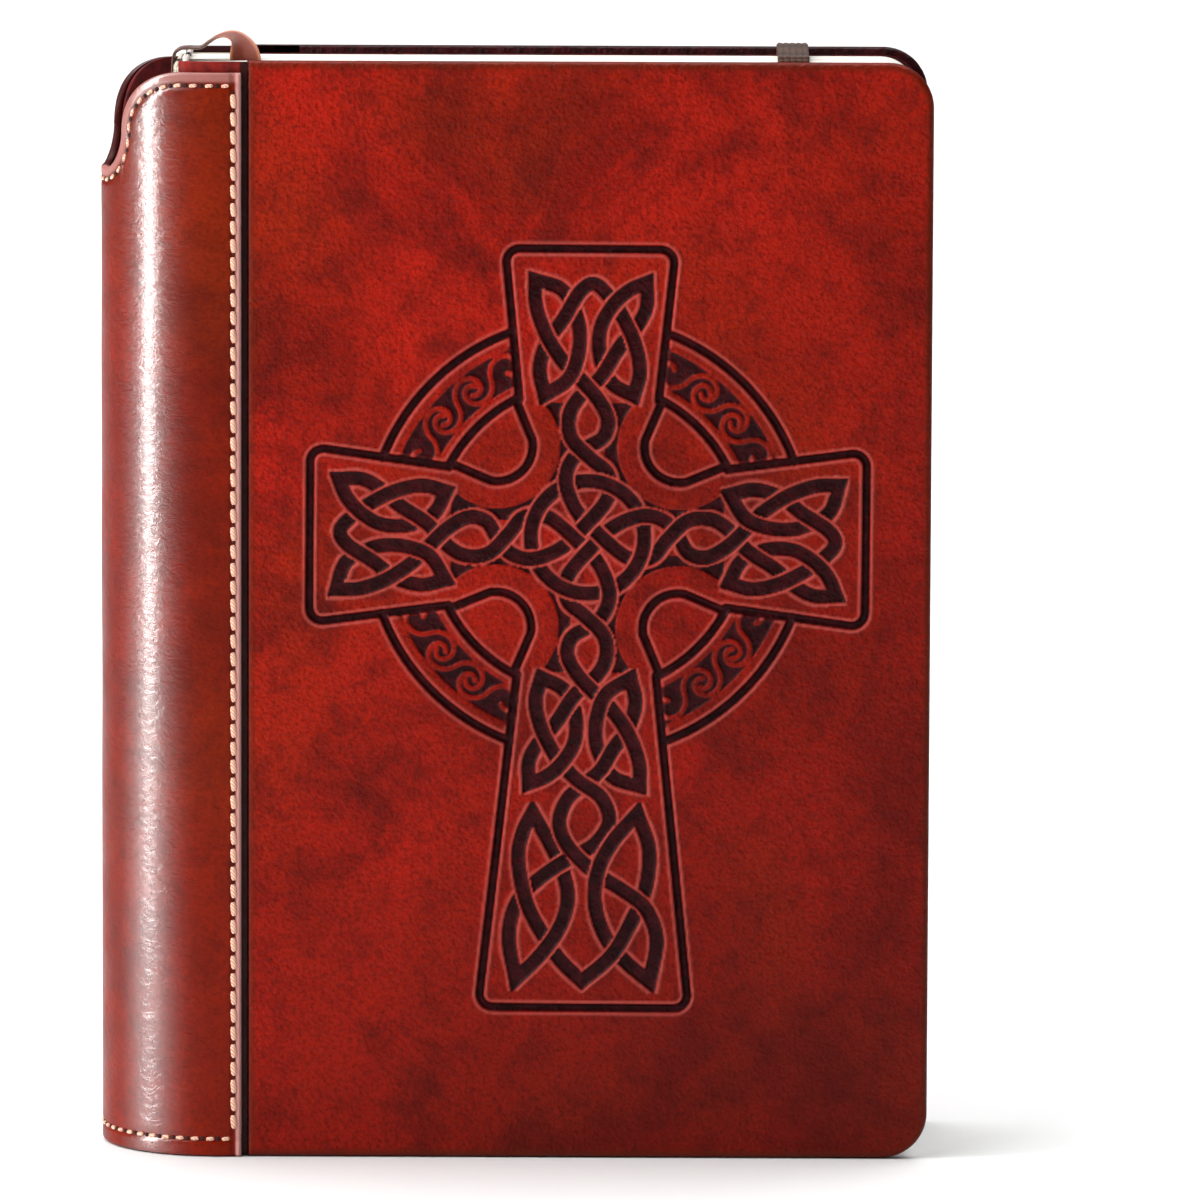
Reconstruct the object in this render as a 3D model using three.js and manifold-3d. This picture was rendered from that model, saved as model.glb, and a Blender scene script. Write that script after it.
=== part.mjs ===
// A leather-bound bible standing on its tail: a rounded spine wrap with a pen channel behind it,
// two cased covers, a sewn text block, a ribbon marker and an elastic page band.
// Millimetres. +Z is up, the spine's back faces -X, the front cover faces -Y. Z = 0 is the tail.
// "From the spine" distances run along +X from the back of the spine.
import * as THREE from "three";
import { mergeVertices } from "three/addons/utils/BufferGeometryUtils.js";
import Module from "manifold-3d";

// Overall sizes
const bookWidth = 161.7;
const coverHeight = 214;
const bookThickness = 46;

// Spine wrap, its lining and the leather that joins it to the covers
const wrapLeather = 1.6;
const wrapReach = 28; // how far the wrap comes round onto each cover, from the spine
const spineLiningLeather = 0.8;
const jointLeather = 1.0;
const jointStartAngle = THREE.MathUtils.degToRad(70); // measured from the middle of the spine
const liningStop = 0.6; // between the lining's edge and the joint leather's edge
const headStep = 2.3; // the wrap ends this far below the covers' head
const scoopDepth = 19.5; // finger scoop in the wrap's head
const scoopFloor = 4.55; // half the width of the scoop's flat bottom
const scoopShift = 2.45; // the scoop's middle sits this far towards the front
const scoopFillet = 7.4;
const scoopShoulder = 15; // run of the rounded shoulder, along the leather

// Covers
const grooveWidth = 1.1; // between the wrap's edge and the cover panel
const coverDrop = 0.4; // the panels lie this far below the wrap's surface
const coverLeather = 1.2;
const coverRim = 1.0; // leather turned round the board's edge
const boardThickness = 1.6;
const coverLining = 0.6;
const liningMargin = 1.5; // the lining stops this far inside the cover's outline
const cornerRadius = 8.8;

// Text block
const headSquare = 1.5; // the covers overhang the leaves by this, at head and tail
const foreEdgeSquare = 2.5;
const leafCornerRadius = 7;
const blockSpineRadius = 3;
const boundOverhang = 1.9; // the bound folds reach this far past the wrap's edge
const mullCloth = 0.6;
const mullFlangeStop = 0.1; // the cloth's flanges stop this far short of the wrap's edge
const endpaper = 0.4;
const endpaperStart = 4; // from the first leaves' hinge line
const frontLeafCount = 6;
const rearLeafCount = 5;
const leafStagger = 2.5; // each deeper group of leaves bends this much further out
const headbandRadius = 0.5;
const headbandInset = 1.3; // from the back of the bound folds
const penChannelDepth = 12.0; // clear depth between the spine lining and the block
const penStopThickness = 2;
const penStopHeight = 2; // above the tail

// Thread, ribbon and elastic
const threadWidth = 0.8;
const threadThickness = 0.4;
const threadLift = 0.15; // air between the thread and the leather
const seamInset = 1.5; // from the wrap's straight edges
const headSeamInset = 2.5; // from the scooped edge
const tailSeamHeight = 3.4;
const ribbonWidth = 6;
const ribbonThickness = 0.4;
const elasticWidth = 6.2;
const elasticThickness = 0.9;
const elasticFromForeEdge = 26.8; // to the band's centre line
const elasticArch = 1.5; // the band rises this much more at its rear top corner
const elasticCorner = 0.8;

const gap = 0.3; // between pieces that touch
const arcSteps = 6; // segments in a quarter of a small round

// Derived places
const spineRadius = bookThickness / 2;
const halfArc = (Math.PI * spineRadius) / 2;
const threadProud = threadLift + threadThickness;
const originFromSpine = (bookWidth - threadProud) / 2;
const edgeArc = halfArc + wrapReach - spineRadius; // the wrap's edge, along the leather
const wrapTop = coverHeight - headStep;
const scoopBottom = wrapTop - scoopDepth;
const coverStart = wrapReach + grooveWidth;
const coverFace = spineRadius - coverDrop;
const boardFace = coverFace - coverLeather - gap;
const coverLiningFace = boardFace - boardThickness - gap;
const coverInside = coverLiningFace - coverLining;
const blockTail = headSquare;
const blockHead = coverHeight - headSquare;
const foreEdge = bookWidth - foreEdgeSquare;
const foldsOut = coverInside - gap - 0.1;
const frontEndpaperFace = foldsOut;
const frontLeavesFace = frontEndpaperFace - endpaper - gap;
const elasticRearFace = coverInside - gap; // outside of the band's rear run
const rearEndpaperFace = elasticRearFace - elasticThickness - gap;
const rearLeavesFace = rearEndpaperFace - endpaper - gap;
const middleHalfGap = elasticThickness / 2 + gap; // kept for the band and the ribbon
const frontPitch = (frontLeavesFace - middleHalfGap + gap) / frontLeafCount;
const frontLeafThickness = frontPitch - gap;
const rearPitch = (rearLeavesFace - middleHalfGap + gap) / rearLeafCount;
const boundReach = wrapReach + boundOverhang;
const mullBack = wrapLeather + gap + spineLiningLeather + penChannelDepth;
const foldsBack = mullBack + mullCloth + gap;
const firstLeafHinge = boundReach + gap + frontLeafThickness / 2;

const wasm = await Module();
wasm.setup();

const colours = {
  glossLeather: { color: 0x6e1d0e, roughness: 0.25, metalness: 0 },
  panelLeather: { color: 0x8c1f14, roughness: 0.45, metalness: 0 },
  darkLining: { color: 0x2c070b, roughness: 0.7, metalness: 0 },
  board: { color: 0x8d7a62, roughness: 0.9, metalness: 0 },
  paper: { color: 0xf4f0e6, roughness: 0.8, metalness: 0 },
  cloth: { color: 0xd9d2c0, roughness: 0.9, metalness: 0 },
  thread: { color: 0xf2b49a, roughness: 0.6, metalness: 0 },
  ribbon: { color: 0x7a2a18, roughness: 0.4, metalness: 0 },
  elastic: { color: 0x5a3a28, roughness: 0.8, metalness: 0 },
};

const x = (fromSpine) => fromSpine - originFromSpine;

const book = new THREE.Group();

function addPart(name, geometry, colour) {
  const mesh = new THREE.Mesh(geometry, new THREE.MeshStandardMaterial(colours[colour]));
  mesh.name = name;
  book.add(mesh);
}

// A closed geometry as a manifold solid, and back.
function solidOf(geometry) {
  const bare = geometry.index ? geometry.toNonIndexed() : geometry.clone();
  bare.deleteAttribute("normal");
  bare.deleteAttribute("uv");
  const merged = mergeVertices(bare, 1e-4);
  return new wasm.Manifold(
    new wasm.Mesh({
      numProp: 3,
      vertProperties: merged.attributes.position.array,
      triVerts: new Uint32Array(merged.index.array),
    }),
  );
}

function geometryOf(solid) {
  const mesh = solid.getMesh();
  const geometry = new THREE.BufferGeometry();
  geometry.setAttribute("position", new THREE.BufferAttribute(mesh.vertProperties, 3));
  geometry.setIndex(new THREE.BufferAttribute(mesh.triVerts, 1));
  geometry.computeVertexNormals();
  return geometry;
}

// Rings of the same number of points, joined in turn and closed at both ends with fans.
function loftedRings(rings) {
  const size = rings[0].length;
  const points = rings.flat();
  const faces = [];
  for (let i = 0; i + 1 < rings.length; i += 1) {
    for (let j = 0; j < size; j += 1) {
      const a = i * size + j;
      const b = i * size + ((j + 1) % size);
      faces.push(a, b, a + size, b, b + size, a + size);
    }
  }
  const last = (rings.length - 1) * size;
  for (let j = 1; j + 1 < size; j += 1) {
    faces.push(0, j + 1, j);
    faces.push(last, last + j, last + j + 1);
  }
  const geometry = new THREE.BufferGeometry();
  const flat = points.flatMap((p) => [p.x, p.y, p.z]);
  geometry.setAttribute("position", new THREE.Float32BufferAttribute(flat, 3));
  geometry.setIndex(faces);
  geometry.computeVertexNormals();
  return geometry;
}

// A flat shape drawn in X and Z, standing between two Y values.
function plate(shape, yLow, yHigh) {
  const geometry = new THREE.ExtrudeGeometry(shape, {
    depth: yHigh - yLow,
    bevelEnabled: false,
    curveSegments: arcSteps,
  });
  return geometry.rotateX(Math.PI / 2).translate(0, yHigh, 0);
}

// A flat shape drawn in X and Y, standing between two heights.
function column(shape, zLow, zHigh) {
  const geometry = new THREE.ExtrudeGeometry(shape, {
    depth: zHigh - zLow,
    bevelEnabled: false,
    curveSegments: arcSteps,
  });
  return geometry.translate(0, 0, zLow);
}

// A plate outline that is square at the spine side and rounded at the fore-edge corners.
function pageOutline(left, right, low, high, radius) {
  const shape = new THREE.Shape();
  shape.moveTo(left, low);
  shape.lineTo(right - radius, low);
  shape.absarc(right - radius, low + radius, radius, -Math.PI / 2, 0, false);
  shape.lineTo(right, high - radius);
  shape.absarc(right - radius, high - radius, radius, 0, Math.PI / 2, false);
  shape.lineTo(left, high);
  shape.closePath();
  return shape;
}

// A point of the wrap: `arc` runs along the leather from the middle of the spine, negative to the
// front, and `lift` is the distance outside the leather's outer face.
function wrapPoint(arc, lift, z) {
  const side = Math.sign(arc);
  const radius = spineRadius + lift;
  if (Math.abs(arc) > halfArc) {
    return new THREE.Vector3(x(spineRadius + Math.abs(arc) - halfArc), side * radius, z);
  }
  const angle = arc / spineRadius;
  return new THREE.Vector3(x(spineRadius - radius * Math.cos(angle)), radius * Math.sin(angle), z);
}

// Height of the wrap's head edge: the scoop's floor, its fillet, its shoulder, then level.
function headHeight(arc) {
  const along = Math.abs(arc + scoopShift);
  const filletEnd = scoopFloor + scoopFillet;
  const shoulderEnd = filletEnd + scoopShoulder;
  if (along <= scoopFloor) {
    return scoopBottom;
  }
  if (along <= filletEnd) {
    return scoopBottom + scoopFillet - Math.sqrt(scoopFillet ** 2 - (along - scoopFloor) ** 2);
  }
  if (along < shoulderEnd) {
    const left = (shoulderEnd - along) / scoopShoulder;
    return scoopBottom + scoopFillet + (scoopDepth - scoopFillet) * Math.sqrt(1 - left ** 2);
  }
  return wrapTop;
}

// A wall that follows the wrap between two insets, with its own head line.
function wrapWall(fromArc, toArc, outerInset, innerInset, headAt) {
  const longestStep = 1.3;
  const steps = Math.ceil((toArc - fromArc) / longestStep);
  const rings = [];
  for (let i = 0; i <= steps; i += 1) {
    const arc = fromArc + ((toArc - fromArc) * i) / steps;
    const head = headAt(arc);
    rings.push([
      wrapPoint(arc, -outerInset, 0),
      wrapPoint(arc, -outerInset, head),
      wrapPoint(arc, -innerInset, head),
      wrapPoint(arc, -innerInset, 0),
    ]);
  }
  return loftedRings(rings);
}

// A seam's thread as one flat strip on the wrap, along a path of [arc, height] points.
function seamStrip(path) {
  const half = threadWidth / 2;
  const rings = path.map((point, i) => {
    const before = path[Math.max(i - 1, 0)];
    const after = path[Math.min(i + 1, path.length - 1)];
    const along = new THREE.Vector2(after[0] - before[0], after[1] - before[1]).normalize();
    const corner = (side, lift) =>
      wrapPoint(point[0] - along.y * half * side, lift, point[1] + along.x * half * side);
    return [
      corner(-1, threadLift),
      corner(-1, threadProud),
      corner(1, threadProud),
      corner(1, threadLift),
    ];
  });
  return loftedRings(rings);
}

function addSpine() {
  const lining = wrapLeather + gap;
  const jointStart = jointStartAngle * spineRadius;
  const liningEnd = jointStart - liningStop;
  const jointEnd = edgeArc + grooveWidth / 2;
  const coverHead = () => coverHeight;
  addPart("spine_wrap", wrapWall(-edgeArc, edgeArc, 0, wrapLeather, headHeight), "glossLeather");
  addPart(
    "spine_lining",
    wrapWall(-liningEnd, liningEnd, lining, lining + spineLiningLeather, headHeight),
    "darkLining",
  );
  addPart(
    "front_joint_leather",
    wrapWall(-jointEnd, -jointStart, lining, lining + jointLeather, coverHead),
    "panelLeather",
  );
  addPart(
    "rear_joint_leather",
    wrapWall(jointStart, jointEnd, lining, lining + jointLeather, coverHead),
    "panelLeather",
  );
}

// The head seam runs a fixed distance inside the scooped edge, so its path is that edge offset.
function headSeamPath(end) {
  const steps = 72;
  const path = [];
  for (let i = 0; i <= steps; i += 1) {
    const arc = -end + (2 * end * i) / steps;
    const slopeStep = 0.2;
    const rise = headHeight(arc + slopeStep) - headHeight(arc - slopeStep);
    const tangent = new THREE.Vector2(2 * slopeStep, rise).normalize();
    path.push([arc + tangent.y * headSeamInset, headHeight(arc) - tangent.x * headSeamInset]);
  }
  return path.filter((point, i) => i === 0 || point[0] - path[i - 1][0] > 0);
}

function addSeams() {
  const edgeSeam = edgeArc - seamInset;
  const seamGap = 1.2; // between the ends of two seams
  const rowEnd = edgeSeam - threadWidth / 2 - seamGap;
  const seamTop = wrapTop - headSeamInset;
  for (const [name, side] of [
    ["front_edge_seam", -1],
    ["rear_edge_seam", 1],
  ]) {
    const path = [
      [side * edgeSeam, tailSeamHeight],
      [side * edgeSeam, seamTop],
    ];
    addPart(name, seamStrip(path), "thread");
  }
  addPart("head_seam", seamStrip(headSeamPath(rowEnd)), "thread");
  const tailSteps = 48;
  const tailPath = [];
  for (let i = 0; i <= tailSteps; i += 1) {
    tailPath.push([-rowEnd + (2 * rowEnd * i) / tailSteps, tailSeamHeight]);
  }
  addPart("tail_seam", seamStrip(tailPath), "thread");
}

// Leather stop that keeps a pen from dropping out of the channel's tail.
function addPenStop() {
  const radius = spineRadius - wrapLeather - spineLiningLeather - 2 * gap;
  const chord = mullBack - gap;
  const halfAngle = Math.acos((spineRadius - chord) / radius);
  const shape = new THREE.Shape();
  shape.absarc(x(spineRadius), 0, radius, Math.PI - halfAngle, Math.PI + halfAngle, false);
  shape.closePath();
  addPart(
    "pen_channel_stop",
    column(shape, penStopHeight, penStopHeight + penStopThickness),
    "darkLining",
  );
}

// One cover: a leather tray, the board in it and the lining over both. side is -1 at the front.
function addCover(name, side) {
  const span = (inner, outer) => (side < 0 ? [-outer, -inner] : [inner, outer]);
  const outline = (inset) =>
    pageOutline(
      x(coverStart + inset),
      x(bookWidth - inset),
      inset,
      coverHeight - inset,
      cornerRadius - inset,
    );
  const trayInside = boardFace - boardThickness;
  const pocketInset = coverRim;
  const overcut = 1;
  const tray = solidOf(plate(outline(0), ...span(trayInside, coverFace))).subtract(
    solidOf(plate(outline(pocketInset), ...span(trayInside - overcut, coverFace - coverLeather))),
  );
  addPart(`${name}_leather`, geometryOf(tray), "panelLeather");
  addPart(
    `${name}_board`,
    plate(outline(pocketInset + gap), ...span(boardFace - boardThickness, boardFace)),
    "board",
  );
  addPart(
    `${name}_lining`,
    plate(outline(liningMargin), ...span(coverInside, coverLiningFace)),
    "darkLining",
  );
}

// The spine end of the text block: the cloth over its back and the sewn, glued folds.
function addBinding() {
  const flangeEnd = wrapReach - mullFlangeStop;
  const inner = foldsOut + gap;
  const centreX = foldsBack + blockSpineRadius;
  const centreY = foldsOut - blockSpineRadius;
  const innerRadius = blockSpineRadius + gap;
  const outerRadius = innerRadius + mullCloth;
  const cloth = new THREE.Shape();
  cloth.moveTo(x(flangeEnd), -inner - mullCloth);
  cloth.lineTo(x(flangeEnd), -inner);
  cloth.absarc(x(centreX), -centreY, innerRadius, -Math.PI / 2, -Math.PI, true);
  cloth.absarc(x(centreX), centreY, innerRadius, Math.PI, Math.PI / 2, true);
  cloth.lineTo(x(flangeEnd), inner);
  cloth.lineTo(x(flangeEnd), inner + mullCloth);
  cloth.absarc(x(centreX), centreY, outerRadius, Math.PI / 2, Math.PI, false);
  cloth.absarc(x(centreX), -centreY, outerRadius, Math.PI, (3 * Math.PI) / 2, false);
  cloth.closePath();
  addPart("spine_mull", column(cloth, blockTail, blockHead), "cloth");

  const front = new THREE.Shape();
  front.moveTo(x(foldsBack), -middleHalfGap);
  front.lineTo(x(foldsBack), -centreY);
  front.absarc(x(centreX), -centreY, blockSpineRadius, Math.PI, (3 * Math.PI) / 2, false);
  front.lineTo(x(boundReach), -foldsOut);
  for (let i = 1; i < frontLeafCount; i += 1) {
    const stepY = -frontLeavesFace + i * frontPitch;
    front.lineTo(x(boundReach + (i - 1) * leafStagger), stepY);
    front.lineTo(x(boundReach + i * leafStagger), stepY);
  }
  front.lineTo(x(boundReach + (frontLeafCount - 1) * leafStagger), -middleHalfGap);
  front.closePath();
  addPart("bound_folds_front", column(front, blockTail, blockHead), "paper");

  const rear = new THREE.Shape();
  rear.moveTo(x(foldsBack), middleHalfGap);
  rear.lineTo(x(boundReach), middleHalfGap);
  rear.lineTo(x(boundReach), foldsOut);
  rear.absarc(x(centreX), centreY, blockSpineRadius, Math.PI / 2, Math.PI, false);
  rear.closePath();
  addPart("bound_folds_rear", column(rear, blockTail, blockHead), "paper");

  const bandSegments = 10;
  const length = 2 * centreY;
  for (const [name, z] of [
    ["headband", blockHead + gap + headbandRadius],
    ["tailband", blockTail - gap - headbandRadius],
  ]) {
    const bar = new THREE.CylinderGeometry(headbandRadius, headbandRadius, length, bandSegments);
    addPart(name, bar.translate(x(foldsBack + headbandInset), 0, z), "cloth");
  }
}

// Front leaves: each group turns on a rounded end beside the bound folds, the deeper ones
// further out, so that they fan one after the other.
function addFrontLeaves() {
  const halfThickness = frontLeafThickness / 2;
  const endSegments = 16;
  const height = blockHead - blockTail;
  const endRadius = halfThickness - 0.02; // just inside the leaf faces it runs into
  for (let i = 0; i < frontLeafCount; i += 1) {
    const hinge = firstLeafHinge + i * leafStagger;
    const yOut = -frontLeavesFace + i * frontPitch;
    const outline = pageOutline(x(hinge), x(foreEdge), blockTail, blockHead, leafCornerRadius);
    const slab = solidOf(plate(outline, yOut, yOut + frontLeafThickness));
    const end = new THREE.CylinderGeometry(endRadius, endRadius, height, endSegments);
    end.rotateX(Math.PI / 2);
    end.translate(x(hinge), yOut + halfThickness, blockTail + height / 2);
    addPart(`front_leaves_${i + 1}`, geometryOf(slab.add(solidOf(end))), "paper");
  }
  const start = x(firstLeafHinge + endpaperStart);
  const sheet = pageOutline(start, x(foreEdge), blockTail, blockHead, leafCornerRadius);
  addPart("front_endpaper", plate(sheet, -frontEndpaperFace, -frontEndpaperFace + endpaper), "paper");
}

function addRearLeaves() {
  const start = x(boundReach + gap);
  const outline = pageOutline(start, x(foreEdge), blockTail, blockHead, leafCornerRadius);
  for (let i = 0; i < rearLeafCount; i += 1) {
    const yIn = middleHalfGap + i * rearPitch;
    addPart(`rear_leaves_${i + 1}`, plate(outline, yIn, yIn + rearPitch - gap), "paper");
  }
  addPart("rear_endpaper", plate(outline, rearEndpaperFace - endpaper, rearEndpaperFace), "paper");
}

// The ribbon is glued to the block's back, arches over its head and lies between the leaves.
// Each point is [from the spine, height, twist in degrees], and the heights above the arch's
// foot are counted from the block's head.
function addRibbon() {
  const onBack = mullBack - gap - ribbonThickness / 2;
  const points = [
    [onBack, blockHead - 20, 0],
    [onBack, blockHead - 8, 0],
    [onBack, blockHead + 0.1, 0],
    [onBack + 0.9, blockHead + 1.9, 0],
    [onBack + 2.8, blockHead + 2.3, 0],
    [onBack + 5.1, blockHead + 2.3, 0],
    [onBack + 6.7, blockHead + 3.3, 0],
    [onBack + 8.2, blockHead + 4.3, 0],
    [onBack + 10, blockHead + 4.8, 5],
    [onBack + 11.7, blockHead + 4.4, 18],
    [onBack + 12.9, blockHead + 2.9, 45],
    [onBack + 13.8, blockHead + 0.6, 82],
    [onBack + 14.1, blockHead - 1.5, 90],
    [onBack + 14.6, blockHead - 6, 90],
    [onBack + 18, blockHead - 25, 90],
    [onBack + 32, blockHead - 90, 90],
    [onBack + 48, blockTail + 60, 90],
    [onBack + 60, blockTail + 12, 90],
  ];
  const route = new THREE.CatmullRomCurve3(
    points.map(([u, z]) => new THREE.Vector3(x(u), 0, z)),
    false,
    "centripetal",
  );
  const stepsPerSpan = 4;
  const spans = points.length - 1;
  const rings = [];
  for (let i = 0; i <= spans * stepsPerSpan; i += 1) {
    const at = i / stepsPerSpan;
    const span = Math.min(Math.floor(at), spans - 1);
    const twist = THREE.MathUtils.lerp(points[span][2], points[span + 1][2], at - span);
    const turn = THREE.MathUtils.degToRad(twist);
    const centre = route.getPoint(at / spans);
    const along = route.getTangent(at / spans);
    const across = new THREE.Vector3(0, 1, 0);
    const through = along.clone().cross(across);
    const wide = across.multiplyScalar(Math.cos(turn)).addScaledVector(through, Math.sin(turn));
    const thick = along.clone().cross(wide).normalize();
    const corner = (w, t) =>
      centre
        .clone()
        .addScaledVector(wide, (w * ribbonWidth) / 2)
        .addScaledVector(thick, (t * ribbonThickness) / 2);
    rings.push([corner(-1, -1), corner(1, -1), corner(1, 1), corner(-1, 1)]);
  }
  addPart("ribbon_marker", loftedRings(rings), "ribbon");
}

// A closed outline through corner points, each corner cut by a quadratic round.
function roundedLoop(corners, radius) {
  const path = new THREE.Path();
  corners.forEach((corner, i) => {
    const before = corners[(i + corners.length - 1) % corners.length];
    const after = corners[(i + 1) % corners.length];
    const into = corner.clone().addScaledVector(before.clone().sub(corner).normalize(), radius);
    const out = corner.clone().addScaledVector(after.clone().sub(corner).normalize(), radius);
    if (i === 0) {
      path.moveTo(into.x, into.y);
    } else {
      path.lineTo(into.x, into.y);
    }
    path.quadraticCurveTo(corner.x, corner.y, out.x, out.y);
  });
  path.closePath();
  return path;
}

// The elastic page band: a closed loop round the rear leaves, drawn in Y and Z.
function addElastic() {
  const half = elasticThickness / 2;
  const rearY = elasticRearFace - half;
  const tailZ = blockTail - gap - half;
  const headZ = blockHead + gap + half;
  const corners = (grow) => [
    new THREE.Vector2(-grow, tailZ - grow),
    new THREE.Vector2(rearY + grow, tailZ - grow),
    new THREE.Vector2(rearY + grow, headZ + elasticArch + grow),
    new THREE.Vector2(-grow, headZ + grow),
  ];
  const shape = new THREE.Shape(roundedLoop(corners(half), elasticCorner + half).getPoints(3));
  shape.holes.push(new THREE.Path(roundedLoop(corners(-half), elasticCorner - half).getPoints(3)));
  const geometry = new THREE.ExtrudeGeometry(shape, { depth: elasticWidth, bevelEnabled: false });
  const turn = new THREE.Matrix4().makeBasis(
    new THREE.Vector3(0, 1, 0),
    new THREE.Vector3(0, 0, 1),
    new THREE.Vector3(1, 0, 0),
  );
  geometry.applyMatrix4(turn);
  geometry.translate(x(bookWidth - elasticFromForeEdge - elasticWidth / 2), 0, 0);
  addPart("elastic_band", geometry, "elastic");
}

addSpine();
addSeams();
addPenStop();
addCover("front_cover", -1);
addCover("back_cover", 1);
addBinding();
addFrontLeaves();
addRearLeaves();
addRibbon();
addElastic();

export default book;
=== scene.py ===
# A leather-bound bible standing on its tail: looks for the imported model.
# Shapes are worked out in millimetres in the model's frame and turned into metres when a mesh is made.
import math
import random

import bmesh
import bpy
import numpy as np
from mathutils import Matrix, Vector


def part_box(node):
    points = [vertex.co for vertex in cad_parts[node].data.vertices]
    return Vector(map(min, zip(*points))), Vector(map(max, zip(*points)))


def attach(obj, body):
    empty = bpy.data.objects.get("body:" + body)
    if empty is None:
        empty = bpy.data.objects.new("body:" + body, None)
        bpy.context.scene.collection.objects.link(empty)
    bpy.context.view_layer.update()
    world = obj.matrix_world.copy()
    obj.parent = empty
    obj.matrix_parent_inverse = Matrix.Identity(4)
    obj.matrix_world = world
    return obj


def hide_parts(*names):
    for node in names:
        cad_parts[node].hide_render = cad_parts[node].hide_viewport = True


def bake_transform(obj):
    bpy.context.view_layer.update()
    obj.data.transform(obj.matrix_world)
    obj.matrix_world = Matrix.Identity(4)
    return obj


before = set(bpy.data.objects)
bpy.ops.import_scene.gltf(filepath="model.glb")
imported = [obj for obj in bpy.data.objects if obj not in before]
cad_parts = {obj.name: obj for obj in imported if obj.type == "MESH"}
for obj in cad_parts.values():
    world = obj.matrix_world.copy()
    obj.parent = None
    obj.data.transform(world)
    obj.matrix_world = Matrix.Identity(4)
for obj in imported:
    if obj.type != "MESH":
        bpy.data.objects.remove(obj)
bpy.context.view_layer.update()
MM = 0.001

# ---- sizes of the binding, in millimetres; "reach" runs along +X from the back of the spine ----
BACK_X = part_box("spine_wrap")[0].x / MM
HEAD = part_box("front_cover_leather")[1].z / MM
REACH_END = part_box("front_cover_leather")[1].x / MM - BACK_X
SPINE_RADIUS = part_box("spine_wrap")[1].y / MM
WRAP_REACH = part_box("spine_wrap")[1].x / MM - BACK_X
WRAP_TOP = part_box("spine_wrap")[1].z / MM
WRAP_LEATHER = 1.6
LINING_LIFT = -1.9
LINING_LEATHER = 0.8
LINING_RADIUS = SPINE_RADIUS + LINING_LIFT
LINING_ANGLE = math.radians(70)  # the lining ends, and the joint leather begins, this far round from the back
SCOOP_DEPTH = 19.5
SCOOP_FLOOR = 4.55
SCOOP_SHIFT = 2.45  # the scoop's middle sits this far towards the front
SCOOP_FILLET = 7.4
SCOOP_SHOULDER = 15.0
HALF_ARC = math.pi * SPINE_RADIUS / 2
EDGE_ARC = HALF_ARC + WRAP_REACH - SPINE_RADIUS
SCOOP_BOTTOM = WRAP_TOP - SCOOP_DEPTH

COVER_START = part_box("front_cover_leather")[0].x / MM - BACK_X
COVER_FACE = -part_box("front_cover_leather")[0].y / MM
COVER_BACK = -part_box("front_cover_leather")[1].y / MM
CORNER_RADIUS = 8.8
EDGE_ROUND = 1.1

LEAF_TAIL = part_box("rear_leaves_1")[0].z / MM
LEAF_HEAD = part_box("rear_leaves_1")[1].z / MM
FORE_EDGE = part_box("rear_leaves_1")[1].x / MM - BACK_X
LEAF_CORNER = 7.0
FOLDS_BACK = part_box("bound_folds_front")[0].x / MM - BACK_X
FOLDS_OUT = -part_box("bound_folds_front")[0].y / MM
FOLDS_ROUND = 3.0

RIBBON_HALF = 3.0
POLISHED_ARC = 21.9  # the wrap is burnished along a line this far round from the middle of its back
POLISHED_HALF = 5.0
SEAM_INSET = 1.5
HEAD_SEAM_INSET = 2.5
TAIL_SEAM = 3.4
STITCH_HALF_HEIGHT = 0.32
STITCH_LEAN = 0.10
BLOCK_MIDDLE = 0.75  # half the room that the band and the ribbon take between the two halves of the leaves
ELASTIC_HALF = 0.45
ELASTIC_BEND = 0.9

# ---- the camera, in metres: in front of the front cover and above its head ----
CAMERA_DISTANCE = 2.114
CAMERA_HEIGHT = 0.374
CAMERA_ROLL = math.radians(0.22)
CAMERA_LENS = 329.6
CAMERA_SENSOR = 36.0
AIM_X = 0.0170
AIM_HEIGHT = 0.1096

# ---- the cross on the front cover, from its centre; an arm runs along s, with t to its left ----
CROSS_REACH = (COVER_START + REACH_END) / 2 - 0.2
CROSS_HEIGHT = 121.8
CROSS_TILT = -0.35  # degrees; the stamp sits a little askew
GROOVE_HALF = 0.75
GROOVE_DEPTH = 0.85
FLOOR_DEPTH = 0.5
LIP = 0.5
LIP_HEIGHT = 0.20
PANEL_INNER = 32.0
PANEL_OUTER = 40.3
SCROLL_ANGLES = (25.5, 38.5, 51.5, 64.5)
SCROLL_TURNS = 0.9
ARM_END = {"right": 53.9, "top": 56.1, "left": 53.9, "bottom": 92.3}
ARM_TURN = {"right": 0, "top": 90, "left": 180, "bottom": 270}
ARM_TIP_HALF = {"right": 16.8, "top": 16.2, "left": 16.8, "bottom": 20.2}
WAIST_HALF = 13.5
WAIST_AT = 25.5
ARM_CORNER = 2.6
RING_OUTER = 42.6
RING_INNER = 30.3
HOLE_CENTRE = 17.7
HOLE_RADIUS = 6.9
FIELD_RADIUS = 12.1
STRAND_HALF = 1.65
CENTRE_RING = 11.0

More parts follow.
